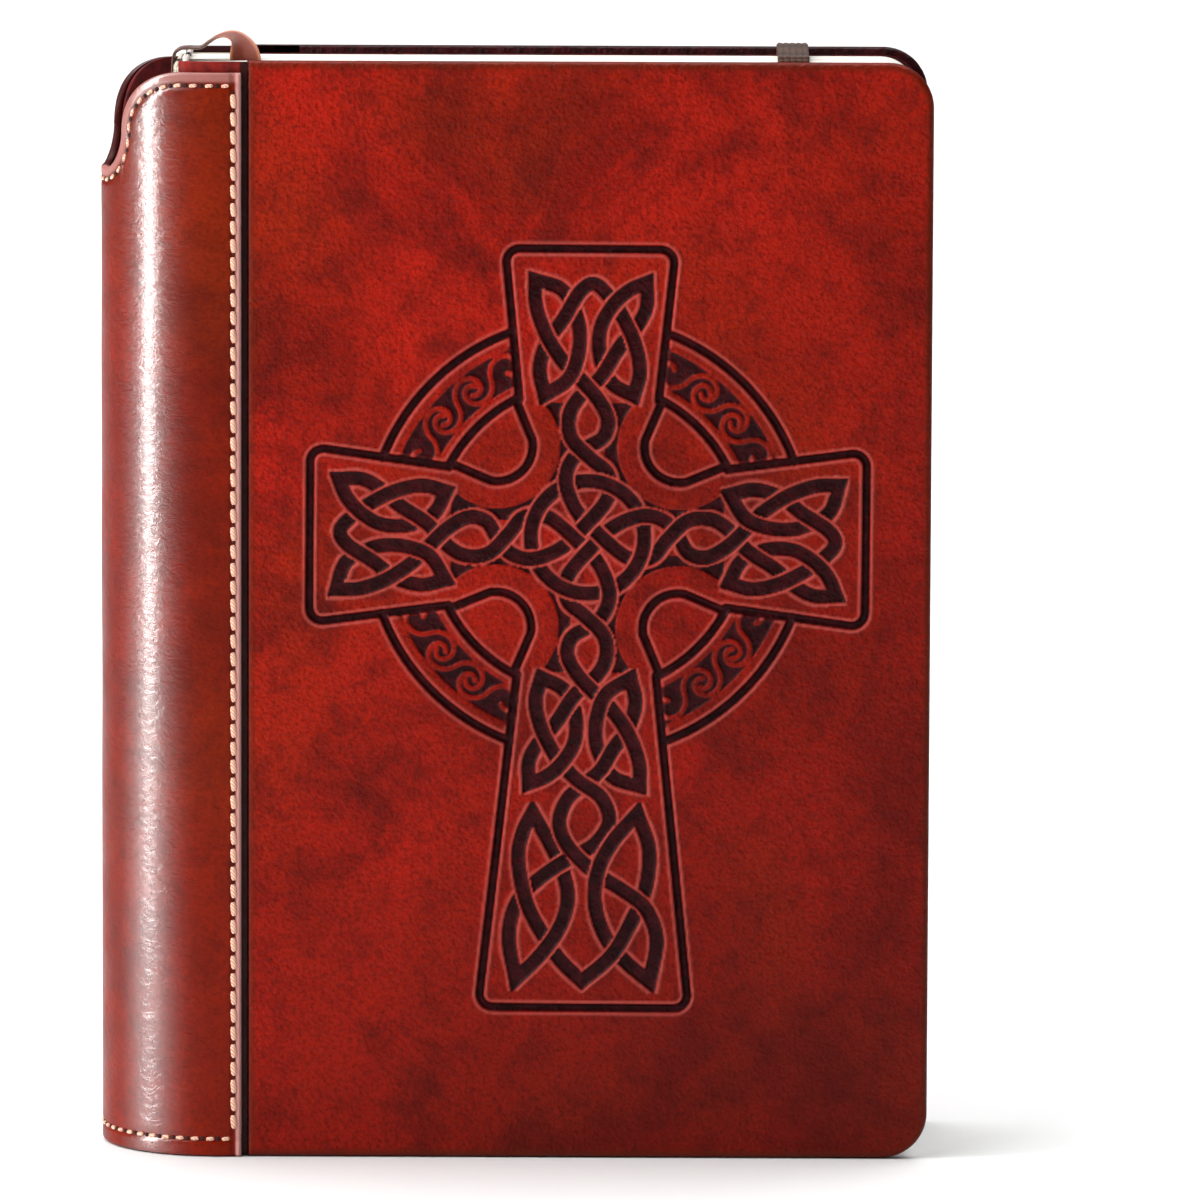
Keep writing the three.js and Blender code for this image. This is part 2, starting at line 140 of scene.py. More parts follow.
# One arm's strand from where it enters the arm to where it leaves it; a section ends at each sharp tip.
ARM_STRAND = [
    [(12.4, -3.8), (15.3, -0.5), (19.2, 3.3), (23.5, 3.8), (27.0, 2.0), (31.0, -2.3), (36.5, -5.9),
     (40.5, -9.3), (44.0, -11.0), (48.3, -11.0)],
    [(48.3, -11.0), (46.8, -7.5), (44.0, -4.4), (39.8, -2.1), (34.4, -2.1), (29.8, -4.4), (27.5, -8.7)],
    [(27.5, -8.7), (32.0, -9.8), (37.0, -8.8), (41.9, -6.4), (45.8, -3.6), (48.0, -0.8), (46.5, 1.9),
     (41.5, 5.1), (37.3, 8.2), (32.3, 9.6), (27.5, 8.6)],
    [(27.5, 8.6), (30.4, 4.1), (34.4, 2.3), (39.0, 1.9), (42.6, 2.8), (46.9, 5.4), (48.6, 10.6)],
    [(48.6, 10.6), (44.0, 10.4), (38.6, 8.4), (33.5, 4.9), (30.6, 1.8), (27.0, -1.6), (23.1, -3.7),
     (19.6, -2.9), (17.6, 0.2), (15.3, 3.0), (12.0, 4.3), (8.5, 3.8), (4.6, 1.8), (1.4, -1.3), (-3.8, -7.6)],
]
# The long arm opens the first knot's outer bend and goes on into a second, larger knot.
LONG_STRAND = (
    ARM_STRAND[:2]
    + [
        [(27.5, -8.7), (32.0, -9.8), (37.0, -8.8), (41.9, -6.4), (45.2, -3.9), (47.8, -1.2), (51.0, 3.2),
         (55.6, 4.7), (60.0, 2.0), (63.0, -3.1), (66.8, -8.6), (71.5, -13.0), (78.4, -14.6), (86.8, -13.2)],
        [(86.8, -13.2), (82.4, -8.8), (76.9, -4.9), (71.3, -3.2), (66.1, -4.0), (60.4, -6.6), (54.0, -10.2)],
        [(54.0, -10.2), (58.0, -12.1), (63.3, -12.9), (71.7, -11.2), (78.1, -7.9), (83.0, -4.5),
         (87.1, -0.3)],
        [(87.1, -0.3), (81.7, 5.6), (74.1, 9.8), (68.4, 12.0), (60.9, 12.5), (54.0, 10.2)],
        [(54.0, 10.2), (59.5, 5.5), (65.1, 2.7), (71.7, 2.1), (78.1, 4.1), (83.0, 8.0), (87.1, 12.9)],
        [(87.1, 12.9), (78.8, 14.2), (72.7, 12.0), (69.2, 7.6), (66.8, 3.7), (64.0, 0.0), (60.0, -3.6),
         (55.7, -5.0), (51.2, -3.4), (48.0, 0.2), (45.2, 3.2), (41.5, 5.3), (37.3, 8.2), (32.3, 9.6),
         (27.5, 8.6)],
    ]
    + ARM_STRAND[3:]
)


# ---- the knotwork as curves ----

def turned(points, degrees, stretch=1.0):
    """Points (s, t) of an arm as (x, z), with the part beyond the waist drawn out by stretch."""
    c = math.cos(math.radians(degrees))
    n = math.sin(math.radians(degrees))
    out = []
    for s, t in points:
        if s > WAIST_AT:
            s = WAIST_AT + (s - WAIST_AT) * stretch
        out.append((s * c - t * n, s * n + t * c))
    return out


def smooth_curve(points, step=0.7, steps=None):
    """A Catmull-Rom curve through the points, sampled about every step or in a set number of steps each."""
    p = np.array(points, float)
    p = np.vstack([2 * p[0] - p[1], p, 2 * p[-1] - p[-2]])
    out = [p[1]]
    for i in range(1, len(p) - 2):
        n = steps or max(2, int(np.hypot(*(p[i + 1] - p[i])) / step))
        for k in range(1, n + 1):
            u = k / n
            out.append(0.5 * (2 * p[i] + (p[i + 1] - p[i - 1]) * u
                              + (2 * p[i - 1] - 5 * p[i] + 4 * p[i + 1] - p[i + 2]) * u * u
                              + (3 * p[i] - p[i - 1] - 3 * p[i + 1] + p[i + 2]) * u ** 3))
    return np.array(out)


def knot_loops():
    """The two closed strands of the knotwork: one that visits all four arms, and the small centre ring."""
    sections = []
    for arm in ("right", "bottom", "left", "top"):
        strand = LONG_STRAND if arm == "bottom" else ARM_STRAND
        stretch = 1.06 if arm == "top" else 1.0
        for section in strand:
            sections.append(turned(section, ARM_TURN[arm], stretch))
    # the last section of an arm runs on into the first one of the next arm
    joined = []
    for section in sections:
        if joined and np.hypot(*(np.array(joined[-1][-1]) - section[0])) > 0.1:
            joined[-1] = joined[-1] + section
        else:
            joined.append(section)
    joined[0] = joined.pop() + joined[0]
    loop = np.vstack([smooth_curve(section)[:-1] for section in joined])
    angles = np.linspace(0, 2 * math.pi, 121)[:-1]
    ring = CENTRE_RING * np.column_stack([np.cos(angles), np.sin(angles)])
    return [loop, ring]


def crossings(loops):
    """Where the strands cross: a list of ((loop, place), (loop, place)), places counted in segments."""
    start, end, owner, place = [], [], [], []
    for n, loop in enumerate(loops):
        start.append(loop)
        end.append(np.roll(loop, -1, axis=0))
        owner += [n] * len(loop)
        place += list(range(len(loop)))
    a = np.vstack(start)
    d = np.vstack(end) - a
    found = []
    for i in range(len(a)):
        rest = np.arange(i + 2, len(a))
        if owner[i] == 0 and place[i] == 0:
            rest = rest[rest != len(loops[0]) - 1]
        cross = d[i, 0] * d[rest, 1] - d[i, 1] * d[rest, 0]
        cross = np.where(np.abs(cross) < 1e-12, 1e-12, cross)
        w = a[rest] - a[i]
        u = (w[:, 0] * d[rest, 1] - w[:, 1] * d[rest, 0]) / cross
        v = (w[:, 0] * d[i, 1] - w[:, 1] * d[i, 0]) / cross
        for k in np.nonzero((u >= 0) & (u < 1) & (v >= 0) & (v < 1))[0]:
            j = rest[k]
            found.append(((owner[i], place[i] + u[k]), (owner[j], place[j] + v[k])))
    return found


def passes(loops):
    """Each stretch of strand with one crossing in its middle, as (points, is over)."""
    visits = [[] for _ in loops]
    for n, pair in enumerate(crossings(loops)):
        for side, (owner, place) in enumerate(pair):
            visits[owner].append((place, n, side))
    for v in visits:
        v.sort()
    over = {}
    for order in visits:
        # a strand goes over and under by turns, in step with any crossing that is already settled
        known = [k + (not over[(n, side)]) for k, (_, n, side) in enumerate(order) if (n, side) in over]
        offset = known[0] % 2 if known else 0
        for k, (_, n, side) in enumerate(order):
            over[(n, side)] = (k + offset) % 2 == 0
            over.setdefault((n, 1 - side), not over[(n, side)])
    out = []
    for loop, v in zip(loops, visits):
        count = len(loop)
        for i, (here, n, side) in enumerate(v):
            before = v[i - 1][0] - (count if i == 0 else 0)
            after = v[(i + 1) % len(v)][0] + (count if i == len(v) - 1 else 0)
            first = (before + here) / 2
            last = (here + after) / 2
            whole = np.arange(math.ceil(first + 1e-6), math.floor(last - 1e-6) + 1)
            at = np.concatenate([[first], whole, [last]])
            low = np.floor(at).astype(int)
            f = (at - low)[:, None]
            out.append((loop[low % count] * (1 - f) + loop[(low + 1) % count] * f, over[(n, side)]))
    return out


def line_distance(points, x, z, reach, open_ends=True):
    """Distance from a grid to a polyline, mitred at its corners; infinite past reach or an open end."""
    far = np.full((len(z), len(x)), np.inf)
    i0, i1 = np.searchsorted(x, [points[:, 0].min() - reach, points[:, 0].max() + reach])
    j0, j1 = np.searchsorted(z, [points[:, 1].min() - reach, points[:, 1].max() + reach])
    if i1 <= i0 or j1 <= j0:
        return far
    gx, gz = np.meshgrid(x[i0:i1], z[j0:j1])
    best = np.full(gx.shape, np.inf)
    mitred = best.copy()
    step = np.diff(points, axis=0)
    length = np.hypot(step[:, 0], step[:, 1])
    keep = length > 1e-6
    p = points[:-1][keep]
    step = step[keep] / length[keep][:, None]
    length = length[keep]
    last = len(length) - 1

    def beside(k):
        return np.abs((gx - p[k, 0]) * step[k, 1] - (gz - p[k, 1]) * step[k, 0])

    for k in range(last + 1):
        along = (gx - p[k, 0]) * step[k, 0] + (gz - p[k, 1]) * step[k, 1]
        off = beside(k)
        beyond = np.maximum(np.maximum(-along, along - length[k]), 0)
        distance = np.hypot(off, beyond)
        value = off.copy()
        for past, other in ((along > length[k], k + 1), (along < 0, k - 1)):
            if 0 <= other <= last:
                value = np.where(past, np.maximum(off, beside(other)), value)
            elif open_ends:
                value = np.where(past, np.inf, value)
        if not open_ends and k in (0, last):
            value = np.where(beyond > 0, distance, value)
        closer = distance < best - 1e-9
        best = np.where(closer, distance, best)
        mitred = np.where(closer, value, mitred)
    far[j0:j1, i0:i1] = np.where(best < reach * 1.8, mitred, np.inf)
    return far


def ease(v):
    """A smooth step from 0 to 1."""
    v = np.clip(v, 0, 1)
    return v * v * (3 - 2 * v)


# ---- the embossing as a relief ----

def relief_grid(x, z):
    """Relief over a grid of places from the cross's centre, where minus is pressed in, and its stain."""
    gx, gz = np.meshgrid(x, z)
    under = np.full(gx.shape, np.inf)
    over = under.copy()
    for points, is_over in passes(knot_loops()):
        d = line_distance(points, x, z, STRAND_HALF + LIP)
        if is_over:
            over = np.minimum(over, d)
        else:
            under = np.minimum(under, d)
    edge = STRAND_HALF + LIP * 0.5
    strand = np.where(over <= edge, over, under)

    groove = np.full(gx.shape, np.inf)
    for outline, closed in outlines():
        if closed:
            outline = np.vstack([outline, outline[:1]])
        d = line_distance(outline, x, z, GROOVE_HALF + 1.6, open_ends=False)
        groove = np.minimum(groove, d)

    far = np.hypot(gx, gz)
    ax = np.abs(gx)
    az = np.abs(gz)
    from_hole = np.hypot(ax - HOLE_CENTRE, az - HOLE_CENTRE)
    ground = np.zeros(gx.shape)

    # dark crescents beside the strands at the waist of each arm
    crescent = ease((from_hole - FIELD_RADIUS) / 0.4) * (far > CENTRE_RING) * (np.minimum(ax, az) > 3.4)
    crescent *= (ax < 26.3) & (az < 26.3)
    ground -= FLOOR_DEPTH * crescent

    # the ring's sunk panel between the arms, with its scrolls standing in it
    half_across = arm_half(az) + GROOVE_HALF * 0.6
    half_up = arm_half(ax) + GROOVE_HALF * 0.6
    panel = ease((far - PANEL_INNER) / 0.4) * ease((PANEL_OUTER - far) / 0.4)
    panel *= (ax > half_across) & (az > half_up)
    ground -= 0.8 * FLOOR_DEPTH * panel
    scroll = np.full(gx.shape, np.inf)
    for line in scrolls():
        d = line_distance(line, x, z, 1.0, open_ends=False)
        scroll = np.minimum(scroll, d)
    ground += panel * 0.8 * FLOOR_DEPTH * ease((0.72 - scroll) / 0.4)

    floor = -FLOOR_DEPTH * ease((STRAND_HALF - LIP * 0.45 - strand) / 0.35)
    lip = LIP_HEIGHT * ease((LIP * 0.75 - np.abs(strand - STRAND_HALF)) / 0.3)
    banded = np.where(strand <= edge, floor + lip, ground)
    soft = np.clip((strand - edge) / 0.3, 0, 1)
    slope = LIP_HEIGHT * (1 - soft) + ground * soft
    relief = np.where((strand > edge) & (strand < edge + 0.3), slope, banded)

    cut = -GROOVE_DEPTH * ease((GROOVE_HALF + 0.15 - groove) / 0.55)
    rim = LIP_HEIGHT * ease((0.36 - np.abs(groove - GROOVE_HALF - 0.4)) / 0.26)
    relief = np.where(groove < GROOVE_HALF + 0.2, np.minimum(relief, cut), relief) + rim * (groove < 9)
    stain_and_shade = np.clip(-relief / FLOOR_DEPTH, 0, 1)
    return relief, stain_and_shade


def arm_half(along, arm="right"):
    """Half the width of an arm at a distance from the centre."""
    slope = (ARM_TIP_HALF[arm] - WAIST_HALF) / (ARM_END[arm] - WAIST_AT)
    return WAIST_HALF + (along - WAIST_AT) * slope


def arc_points(centre, radius, start, end):
    """Points along a round, 0.6 mm apart, its angles in degrees."""
    count = max(3, int(abs(math.radians(end - start)) * radius / 0.6))
    angles = np.radians(np.linspace(start, end, count + 1))
    return np.column_stack([centre[0] + radius * np.cos(angles), centre[1] + radius * np.sin(angles)])


def outlines():
    """The grooves round the cross: the four arms, the four holes and the ring, as (points, is closed)."""
    found = []
    for arm, end in ARM_END.items():
        tip = ARM_TIP_HALF[arm]
        tilt = math.degrees(math.atan2(tip - WAIST_HALF, end - WAIST_AT))
        lower = arc_points((end - ARM_CORNER, -(tip - ARM_CORNER)), ARM_CORNER, -90 - tilt, 0)
        upper = arc_points((end - ARM_CORNER, tip - ARM_CORNER), ARM_CORNER, 0, 90 + tilt)
        path = np.vstack([[(WAIST_AT + 1.4, -WAIST_HALF)], lower, upper, [(WAIST_AT + 1.4, WAIST_HALF)]])
        found.append((np.array(turned(path, ARM_TURN[arm])), False))
    for quadrant in range(4):
        # a hole: the ring's inner round, closed by an egg-shaped end towards the centre
        first = math.degrees(math.asin(WAIST_HALF / RING_INNER))
        outer = arc_points((0, 0), RING_INNER, first + 1.5, 90 - first - 1.5)
        inner = arc_points((HOLE_CENTRE, HOLE_CENTRE), HOLE_RADIUS, 170, 280)
        hole = np.vstack([outer, inner])
        found.append((np.array(turned(hole, 90 * quadrant)), True))
        half = math.degrees(math.asin(arm_half(RING_OUTER * 0.93) / RING_OUTER))
        ring = arc_points((0, 0), RING_OUTER, half, 90 - half)
        found.append((np.array(turned(ring, 90 * quadrant)), False))
    return found


def scrolls():
    """Running scrolls in the ring's panel: each S winds out of one centre and into the next."""
    lines = []
    middle = (PANEL_INNER + PANEL_OUTER) / 2
    angles = np.radians(SCROLL_ANGLES)
    centres = middle * np.column_stack([np.cos(angles), np.sin(angles)])
    for quadrant in range(4):
        for here, there in zip(centres, centres[1:]):
            between = (here + there) / 2
            reach = np.hypot(*(between - here))
            heading = math.atan2(*(between - here)[::-1])
            wind = np.linspace(0, 1, 30)
            angle = heading - 2 * math.pi * SCROLL_TURNS * (1 - wind)
            r = reach * (0.22 + 0.78 * wind ** 1.5)
            half = here + np.column_stack([r * np.cos(angle), r * np.sin(angle)])
            line = np.vstack([half, (2 * between - half)[::-1][1:]])
            lines.append(np.array(turned(line, 90 * quadrant)))
        for radius in (PANEL_INNER + 0.2, PANEL_OUTER - 0.2):
            rim = arc_points((0, 0), radius, 24, 66)
            lines.append(np.array(turned(rim, 90 * quadrant)))
    return lines


# ---- mesh helpers ----

def mesh_piece(name, points, faces, material, smooth=True, values=None):
    """A mesh object from millimetre points; values are named numbers, one per point, for its material."""
    mesh = bpy.data.meshes.new(name)
    mesh.from_pydata((np.asarray(points, float) * MM).tolist(), [], [list(f) for f in faces])
    mesh.validate()
    for key, value in (values or {}).items():
        layer = mesh.attributes.new(key, "FLOAT", "POINT")
        layer.data.foreach_set("value", np.asarray(value, np.float32))
    mesh.polygons.foreach_set("use_smooth", [smooth] * len(mesh.polygons))
    mesh.materials.append(material)
    piece = bpy.data.objects.new(name, mesh)
    bpy.context.scene.collection.objects.link(piece)
    return piece


def face_outwards(piece):
    """Turn every face of a closed piece to face out."""
    work = bmesh.new()
    work.from_mesh(piece.data)
    bmesh.ops.recalc_face_normals(work, faces=work.faces)
    work.to_mesh(piece.data)
    work.free()
    return piece


def grid_faces(rows, columns, first=0, flip=False):
    """Quads of a grid of points stored row by row."""
    r, c = np.meshgrid(np.arange(rows - 1), np.arange(columns - 1), indexing="ij")
    a = first + r * columns + c
    quads = np.stack([a, a + 1, a + columns + 1, a + columns], axis=-1).reshape(-1, 4)
    return (quads[:, ::-1] if flip else quads).tolist()


def bridge(first, second):
    """Quads between two loops of the same length."""
    n = len(first)
    return [[first[i], first[(i + 1) % n], second[(i + 1) % n], second[i]] for i in range(n)]


def loft_faces(rings, size, ends=True, closed=False):
    """Quads between rings of points stored one after another, with a face over each end if it has ends."""
    loops = [list(range(k * size, (k + 1) * size)) for k in range(rings)]
    faces = []
    for k in range(rings if closed else rings - 1):
        faces += bridge(loops[k], loops[(k + 1) % rings])
    return faces + [loops[0], loops[-1]] if ends else faces


def run_along(points):
    """How far along a line each of its points is."""
    return np.concatenate([[0], np.cumsum(np.hypot(*np.diff(points, axis=0).T))])


def unit_rows(rows):
    """Plane directions made one long."""
    return rows / np.hypot(rows[:, 0], rows[:, 1])[:, None]


def grid_border(rows, columns, first=0):
    """The border of a grid, once round."""
    bottom = [first + c for c in range(columns)]
    right = [first + r * columns + columns - 1 for r in range(1, rows)]
    top = [first + (rows - 1) * columns + c for c in range(columns - 2, -1, -1)]
    left = [first + r * columns for r in range(rows - 2, 0, -1)]
    return bottom + right + top + left


def round_drop(distance, radius):
    """How far a rounded edge falls away at a distance from its end."""
    inner = np.clip(radius - distance, 0, radius)
    return radius - np.sqrt(radius * radius - inner * inner)


def lines_between(low, high, spacing, edge_steps=(0, 0.08, 0.22, 0.42, 0.7, 1.1)):
    """Grid lines over a width, finer near both edges."""
    inner = np.arange(low + edge_steps[-1] + spacing, high - edge_steps[-1] - spacing / 2, spacing)
    return np.concatenate([low + np.array(edge_steps), inner, (high - np.array(edge_steps))[::-1]])


def to_frame(reach, y, z):
    """Points from reach, depth and height."""
    return np.column_stack([np.ravel(reach) + BACK_X, np.ravel(y), np.ravel(z)])


def swell(x, y, seed, size):
    """A smooth uneven field between about -1 and 1, from a few crossing waves."""
    rng = random.Random(seed)
    total = np.zeros(np.broadcast(x, y).shape)
    for _ in range(6):
        angle = rng.uniform(0, 2 * math.pi)
        wave = 2 * math.pi / (size * rng.uniform(0.6, 1.7))
        phase = rng.uniform(0, 2 * math.pi)
        total = total + np.sin((x * math.cos(angle) + y * math.sin(angle)) * wave + phase)
    return total / 4


# ---- the rounded spine wrap ----

def wrap_place(arc, lift, z):
    """A place on the wrap: arc runs round the spine from the middle of its back, minus towards the front."""
    arc = np.asarray(arc, float)
    radius = SPINE_RADIUS + lift
    inside = np.clip(arc, -HALF_ARC, HALF_ARC) / SPINE_RADIUS
    reach = SPINE_RADIUS - radius * np.cos(inside) + np.clip(np.abs(arc) - HALF_ARC, 0, None)
    return to_frame(reach, radius * np.sin(inside), z + 0 * arc)


def head_height(arc):
    """Height of the wrap's head along the leather: a finger scoop with round shoulders."""
    a = np.abs(np.asarray(arc, float) + SCOOP_SHIFT)
    fillet_end = SCOOP_FLOOR + SCOOP_FILLET
    shoulder_end = fillet_end + SCOOP_SHOULDER
    fillet = SCOOP_FILLET - np.sqrt(np.clip(SCOOP_FILLET ** 2 - (a - SCOOP_FLOOR) ** 2, 0, None))
    run = np.clip((shoulder_end - a) / SCOOP_SHOULDER, 0, 1)
    rise = SCOOP_FILLET + (SCOOP_DEPTH - SCOOP_FILLET) * np.sqrt(1 - run ** 2)
    height = np.where(a < fillet_end, SCOOP_BOTTOM + fillet, SCOOP_BOTTOM + rise)
    return np.where(a <= SCOOP_FLOOR, SCOOP_BOTTOM, np.where(a >= shoulder_end, WRAP_TOP, height))


def head_edge(limit):
    """The wrap's head edge as (arc, z) points 0.45 mm apart, from the front to the rear."""
    fine = np.linspace(-limit, limit, 12001)
    edge = np.column_stack([fine, head_height(fine)])
    along = run_along(edge)
    places = np.linspace(0, along[-1], int(along[-1] / 0.45) + 1)
    return np.column_stack([np.interp(places, along, edge[:, 0]), np.interp(places, along, edge[:, 1])])


def distance_to_edge(arc, z, edge):
    """Distance from each point to the head edge, measured on the leather."""
    out = np.empty(arc.size)
    flat = np.column_stack([arc.ravel(), z.ravel()])
    for i in range(0, len(flat), 2000):
        part = flat[i:i + 2000, None, :] - edge[None, :, :]
        out[i:i + 2000] = np.sqrt((part ** 2).sum(axis=2)).min(axis=1)
    return out.reshape(arc.shape)


def wrap_sheet(name, limit, lift, thickness, material, rounding=0.6, channel=True):
    """A closed sheet of leather bent round the spine, with rounded edges and a sunk line for the stitches."""
    edge = head_edge(limit)
    near_edge = np.array([0, 0.1, 0.25, 0.45, 0.7, 1.0, 1.3, 1.6, 2.0, 2.4, 2.8, 3.2, 3.7, 4.4, 5.4, 7.0])
    side = limit - near_edge[near_edge < 4]
    arcs = np.unique(np.round(np.concatenate([edge[:, 0], side, -side]), 4))
    heads = head_height(arcs)[None, :]
    middle = np.linspace(0, 1, 64)[1:-1][:, None]
    fine = near_edge[:, None]
    z = np.vstack([fine + 0 * heads, fine[-1] + (heads - 2 * fine[-1]) * middle, heads - fine[::-1]])
    arc = np.broadcast_to(arcs, z.shape).copy()
    to_head = distance_to_edge(arc, z, edge)
    to_side = limit - np.abs(arc)
    to_cut = np.minimum(np.minimum(to_side, z), to_head)
    outer_lift = lift - round_drop(to_cut, rounding)
    if channel:
        line = np.minimum(np.minimum(np.abs(to_side - SEAM_INSET), np.abs(z - TAIL_SEAM)),
                          np.abs(to_head - HEAD_SEAM_INSET))
        outer_lift -= 0.32 * ease((0.95 - line) / 0.8)
        outer_lift += 0.10 * swell(arc, z, 3, 34) * ease((to_cut - 4) / 6)
    n_rows, n_columns = z.shape
    outer = wrap_place(arc.ravel(), outer_lift.ravel(), z.ravel())
    inner = wrap_place(arc.ravel(), lift - thickness, z.ravel())
    count = n_rows * n_columns
    faces = grid_faces(n_rows, n_columns) + grid_faces(n_rows, n_columns, count, flip=True)
    faces += bridge(grid_border(n_rows, n_columns, count), grid_border(n_rows, n_columns))
    pale = np.maximum(ease((1.25 - to_side) / 0.4), 0.5 * ease((2.1 - to_head) / 0.7)) * (arc < SCOOP_SHIFT)
    cut = np.concatenate([pale.ravel(), np.zeros(count)])
    dark = np.concatenate([(ease((1.0 - to_head) / 0.6) * (arc > -SCOOP_SHIFT)).ravel(), np.ones(count)])
    polish = np.exp(-((np.abs(arc) - POLISHED_ARC) / POLISHED_HALF) ** 2).ravel()
    polish = np.concatenate([polish, np.zeros(count)])
    piece = mesh_piece(name, np.vstack([outer, inner]), faces, material,
                       values={"cut": cut, "dark": dark, "polish": polish})
    return face_outwards(piece)


def bead(long_half, wide_half, high_half):
    """A small rounded stitch along its first axis, as points and faces."""
    rings = 7
    around = 10
    points = []
    for i in range(rings):
        s = -1 + 2 * (i + 0.5) / rings
        fullness = (1 - abs(s) ** 3.2) ** 0.5
        for k in range(around):
            a = 2 * math.pi * k / around
            wide = math.cos(a) * wide_half * fullness
            high = math.sin(a) * high_half * fullness
            points.append((s * long_half, wide, high))
    return np.array(points), loft_faces(rings, around)


def beads_along(path, pitch, size, lift, lean=0.0, shift=0.0):
    """Beads laid on the wrap along a path of (arc, z), as points, faces and each bead's number."""
    along = run_along(path)
    count = max(2, int(round(along[-1] / pitch)))
    places = (np.arange(count) + 0.5 + shift) * (along[-1] / count)
    shape, shape_faces = bead(*size)
    points, faces, numbers = [], [], []
    for n, place in enumerate(places):
        here = [np.interp(place, along, path[:, k]) for k in range(2)]
        ahead = [np.interp(place + 0.3, along, path[:, k]) for k in range(2)]
        behind = [np.interp(place - 0.3, along, path[:, k]) for k in range(2)]
        p, q, b = [wrap_place(np.array([s[0]]), lift, np.array([s[1]]))[0] for s in (here, ahead, behind)]
        up = wrap_place(np.array([here[0]]), lift + 1.0, np.array([here[1]]))[0] - p
        forward = (q - b) / np.linalg.norm(q - b)
        across = np.cross(up, forward)
        forward = forward * math.cos(lean) + across * math.sin(lean)
        across = np.cross(up, forward)
        base = n * len(shape)
        points.append(p + shape[:, :1] * forward + shape[:, 1:2] * across + shape[:, 2:] * up)
        faces += [[base + i for i in f] for f in shape_faces]
        numbers += [n / len(places)] * len(shape)
    return np.vstack(points), faces, numbers


def offset_edge(inset):
    """The head edge moved down and in by inset."""
    edge = head_edge(EDGE_ARC - SEAM_INSET)
    run = unit_rows(np.gradient(edge, axis=0))
    moved = edge + inset * np.column_stack([run[:, 1], -run[:, 0]])
    keep = (moved[:, 0] >= -(EDGE_ARC - SEAM_INSET)) & (moved[:, 0] <= EDGE_ARC - SEAM_INSET)
    return moved[keep]


def seam(name, node, path, pitch, length, half_width, hole):
    """Stitches along one line, each this share of the pitch long, with dark dots of painted shade for the
    needle holes between them.
    """
    size = (pitch * length / 2, half_width, STITCH_HALF_HEIGHT)
    points, faces, numbers = beads_along(path, pitch, size, -0.10, lean=STITCH_LEAN)
    stitches = mesh_piece(name, points, faces, thread_material, values={"number": numbers})
    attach(face_outwards(stitches), "spine")
    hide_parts(node)
    # painted shade: dark dots for the needle holes
    points, faces, numbers = beads_along(path, pitch, (hole, hole, 0.22), -0.24, shift=0.5)
    holes = mesh_piece(name + "_holes", points, faces, hole_shade_material, values={"number": numbers})
    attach(face_outwards(holes), "spine")


def build_spine():
    """The wrap, its lining, and the four lines of stitching."""
    wrap = wrap_sheet("spine_wrap_leather", EDGE_ARC, 0.0, WRAP_LEATHER, spine_material)
    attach(wrap, "spine")
    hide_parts("spine_wrap")
    lining_limit = (LINING_ANGLE * LINING_RADIUS - 0.6) * SPINE_RADIUS / LINING_RADIUS
    lining = wrap_sheet("spine_lining_leather", lining_limit, LINING_LIFT, LINING_LEATHER, lining_material,
                        rounding=0.2, channel=False)
    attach(lining, "spine")
    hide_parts("spine_lining")

    side = EDGE_ARC - SEAM_INSET
    rise = np.array([[0, TAIL_SEAM + 1.6], [0, WRAP_TOP - HEAD_SEAM_INSET - 1.2]])
    tail = np.array([[-side, TAIL_SEAM], [side, TAIL_SEAM]])
    seam("front_stitches", "front_edge_seam", rise + [-side, 0], 3.5, 0.88, 0.58, 0.22)
    seam("rear_stitches", "rear_edge_seam", rise + [side, 0], 3.5, 0.88, 0.58, 0.22)
    seam("tail_stitches", "tail_seam", tail, 3.05, 0.58, 0.40, 0.42)
    seam("head_stitches", "head_seam", offset_edge(HEAD_SEAM_INSET), 3.15, 0.54, 0.38, 0.44)


# ---- the two covers ----

def round_corner_grid(x, z, width, height):
    """Grid points of the cover's outline: the square corners at the fore-edge become round ones."""
    gx, gz = np.meshgrid(x, z)
    r = CORNER_RADIUS
    a = (gx - (width - r)) / r
    for low in (True, False):
        b = (r - gz) / r if low else (gz - (height - r)) / r
        corner = (a > 0) & (b > 0)
        new_a = a * np.sqrt(np.clip(1 - b * b / 2, 0, 1))
        new_b = b * np.sqrt(np.clip(1 - a * a / 2, 0, 1))
        gx = np.where(corner, width - r + new_a * r, gx)
        gz = np.where(corner, r - new_b * r if low else height - r + new_b * r, gz)
    return gx, gz


def cover_edge_distance(gx, gz, width, height):
    """Distance inwards from the cover's outline."""
    d = np.minimum(np.minimum(gx, width - gx), np.minimum(gz, height - gz))
    r = CORNER_RADIUS
    a = gx - (width - r)
    for b in (r - gz, gz - (height - r)):
        d = np.where((a > 0) & (b > 0), r - np.hypot(a, b), d)
    return np.clip(d, 0, None)


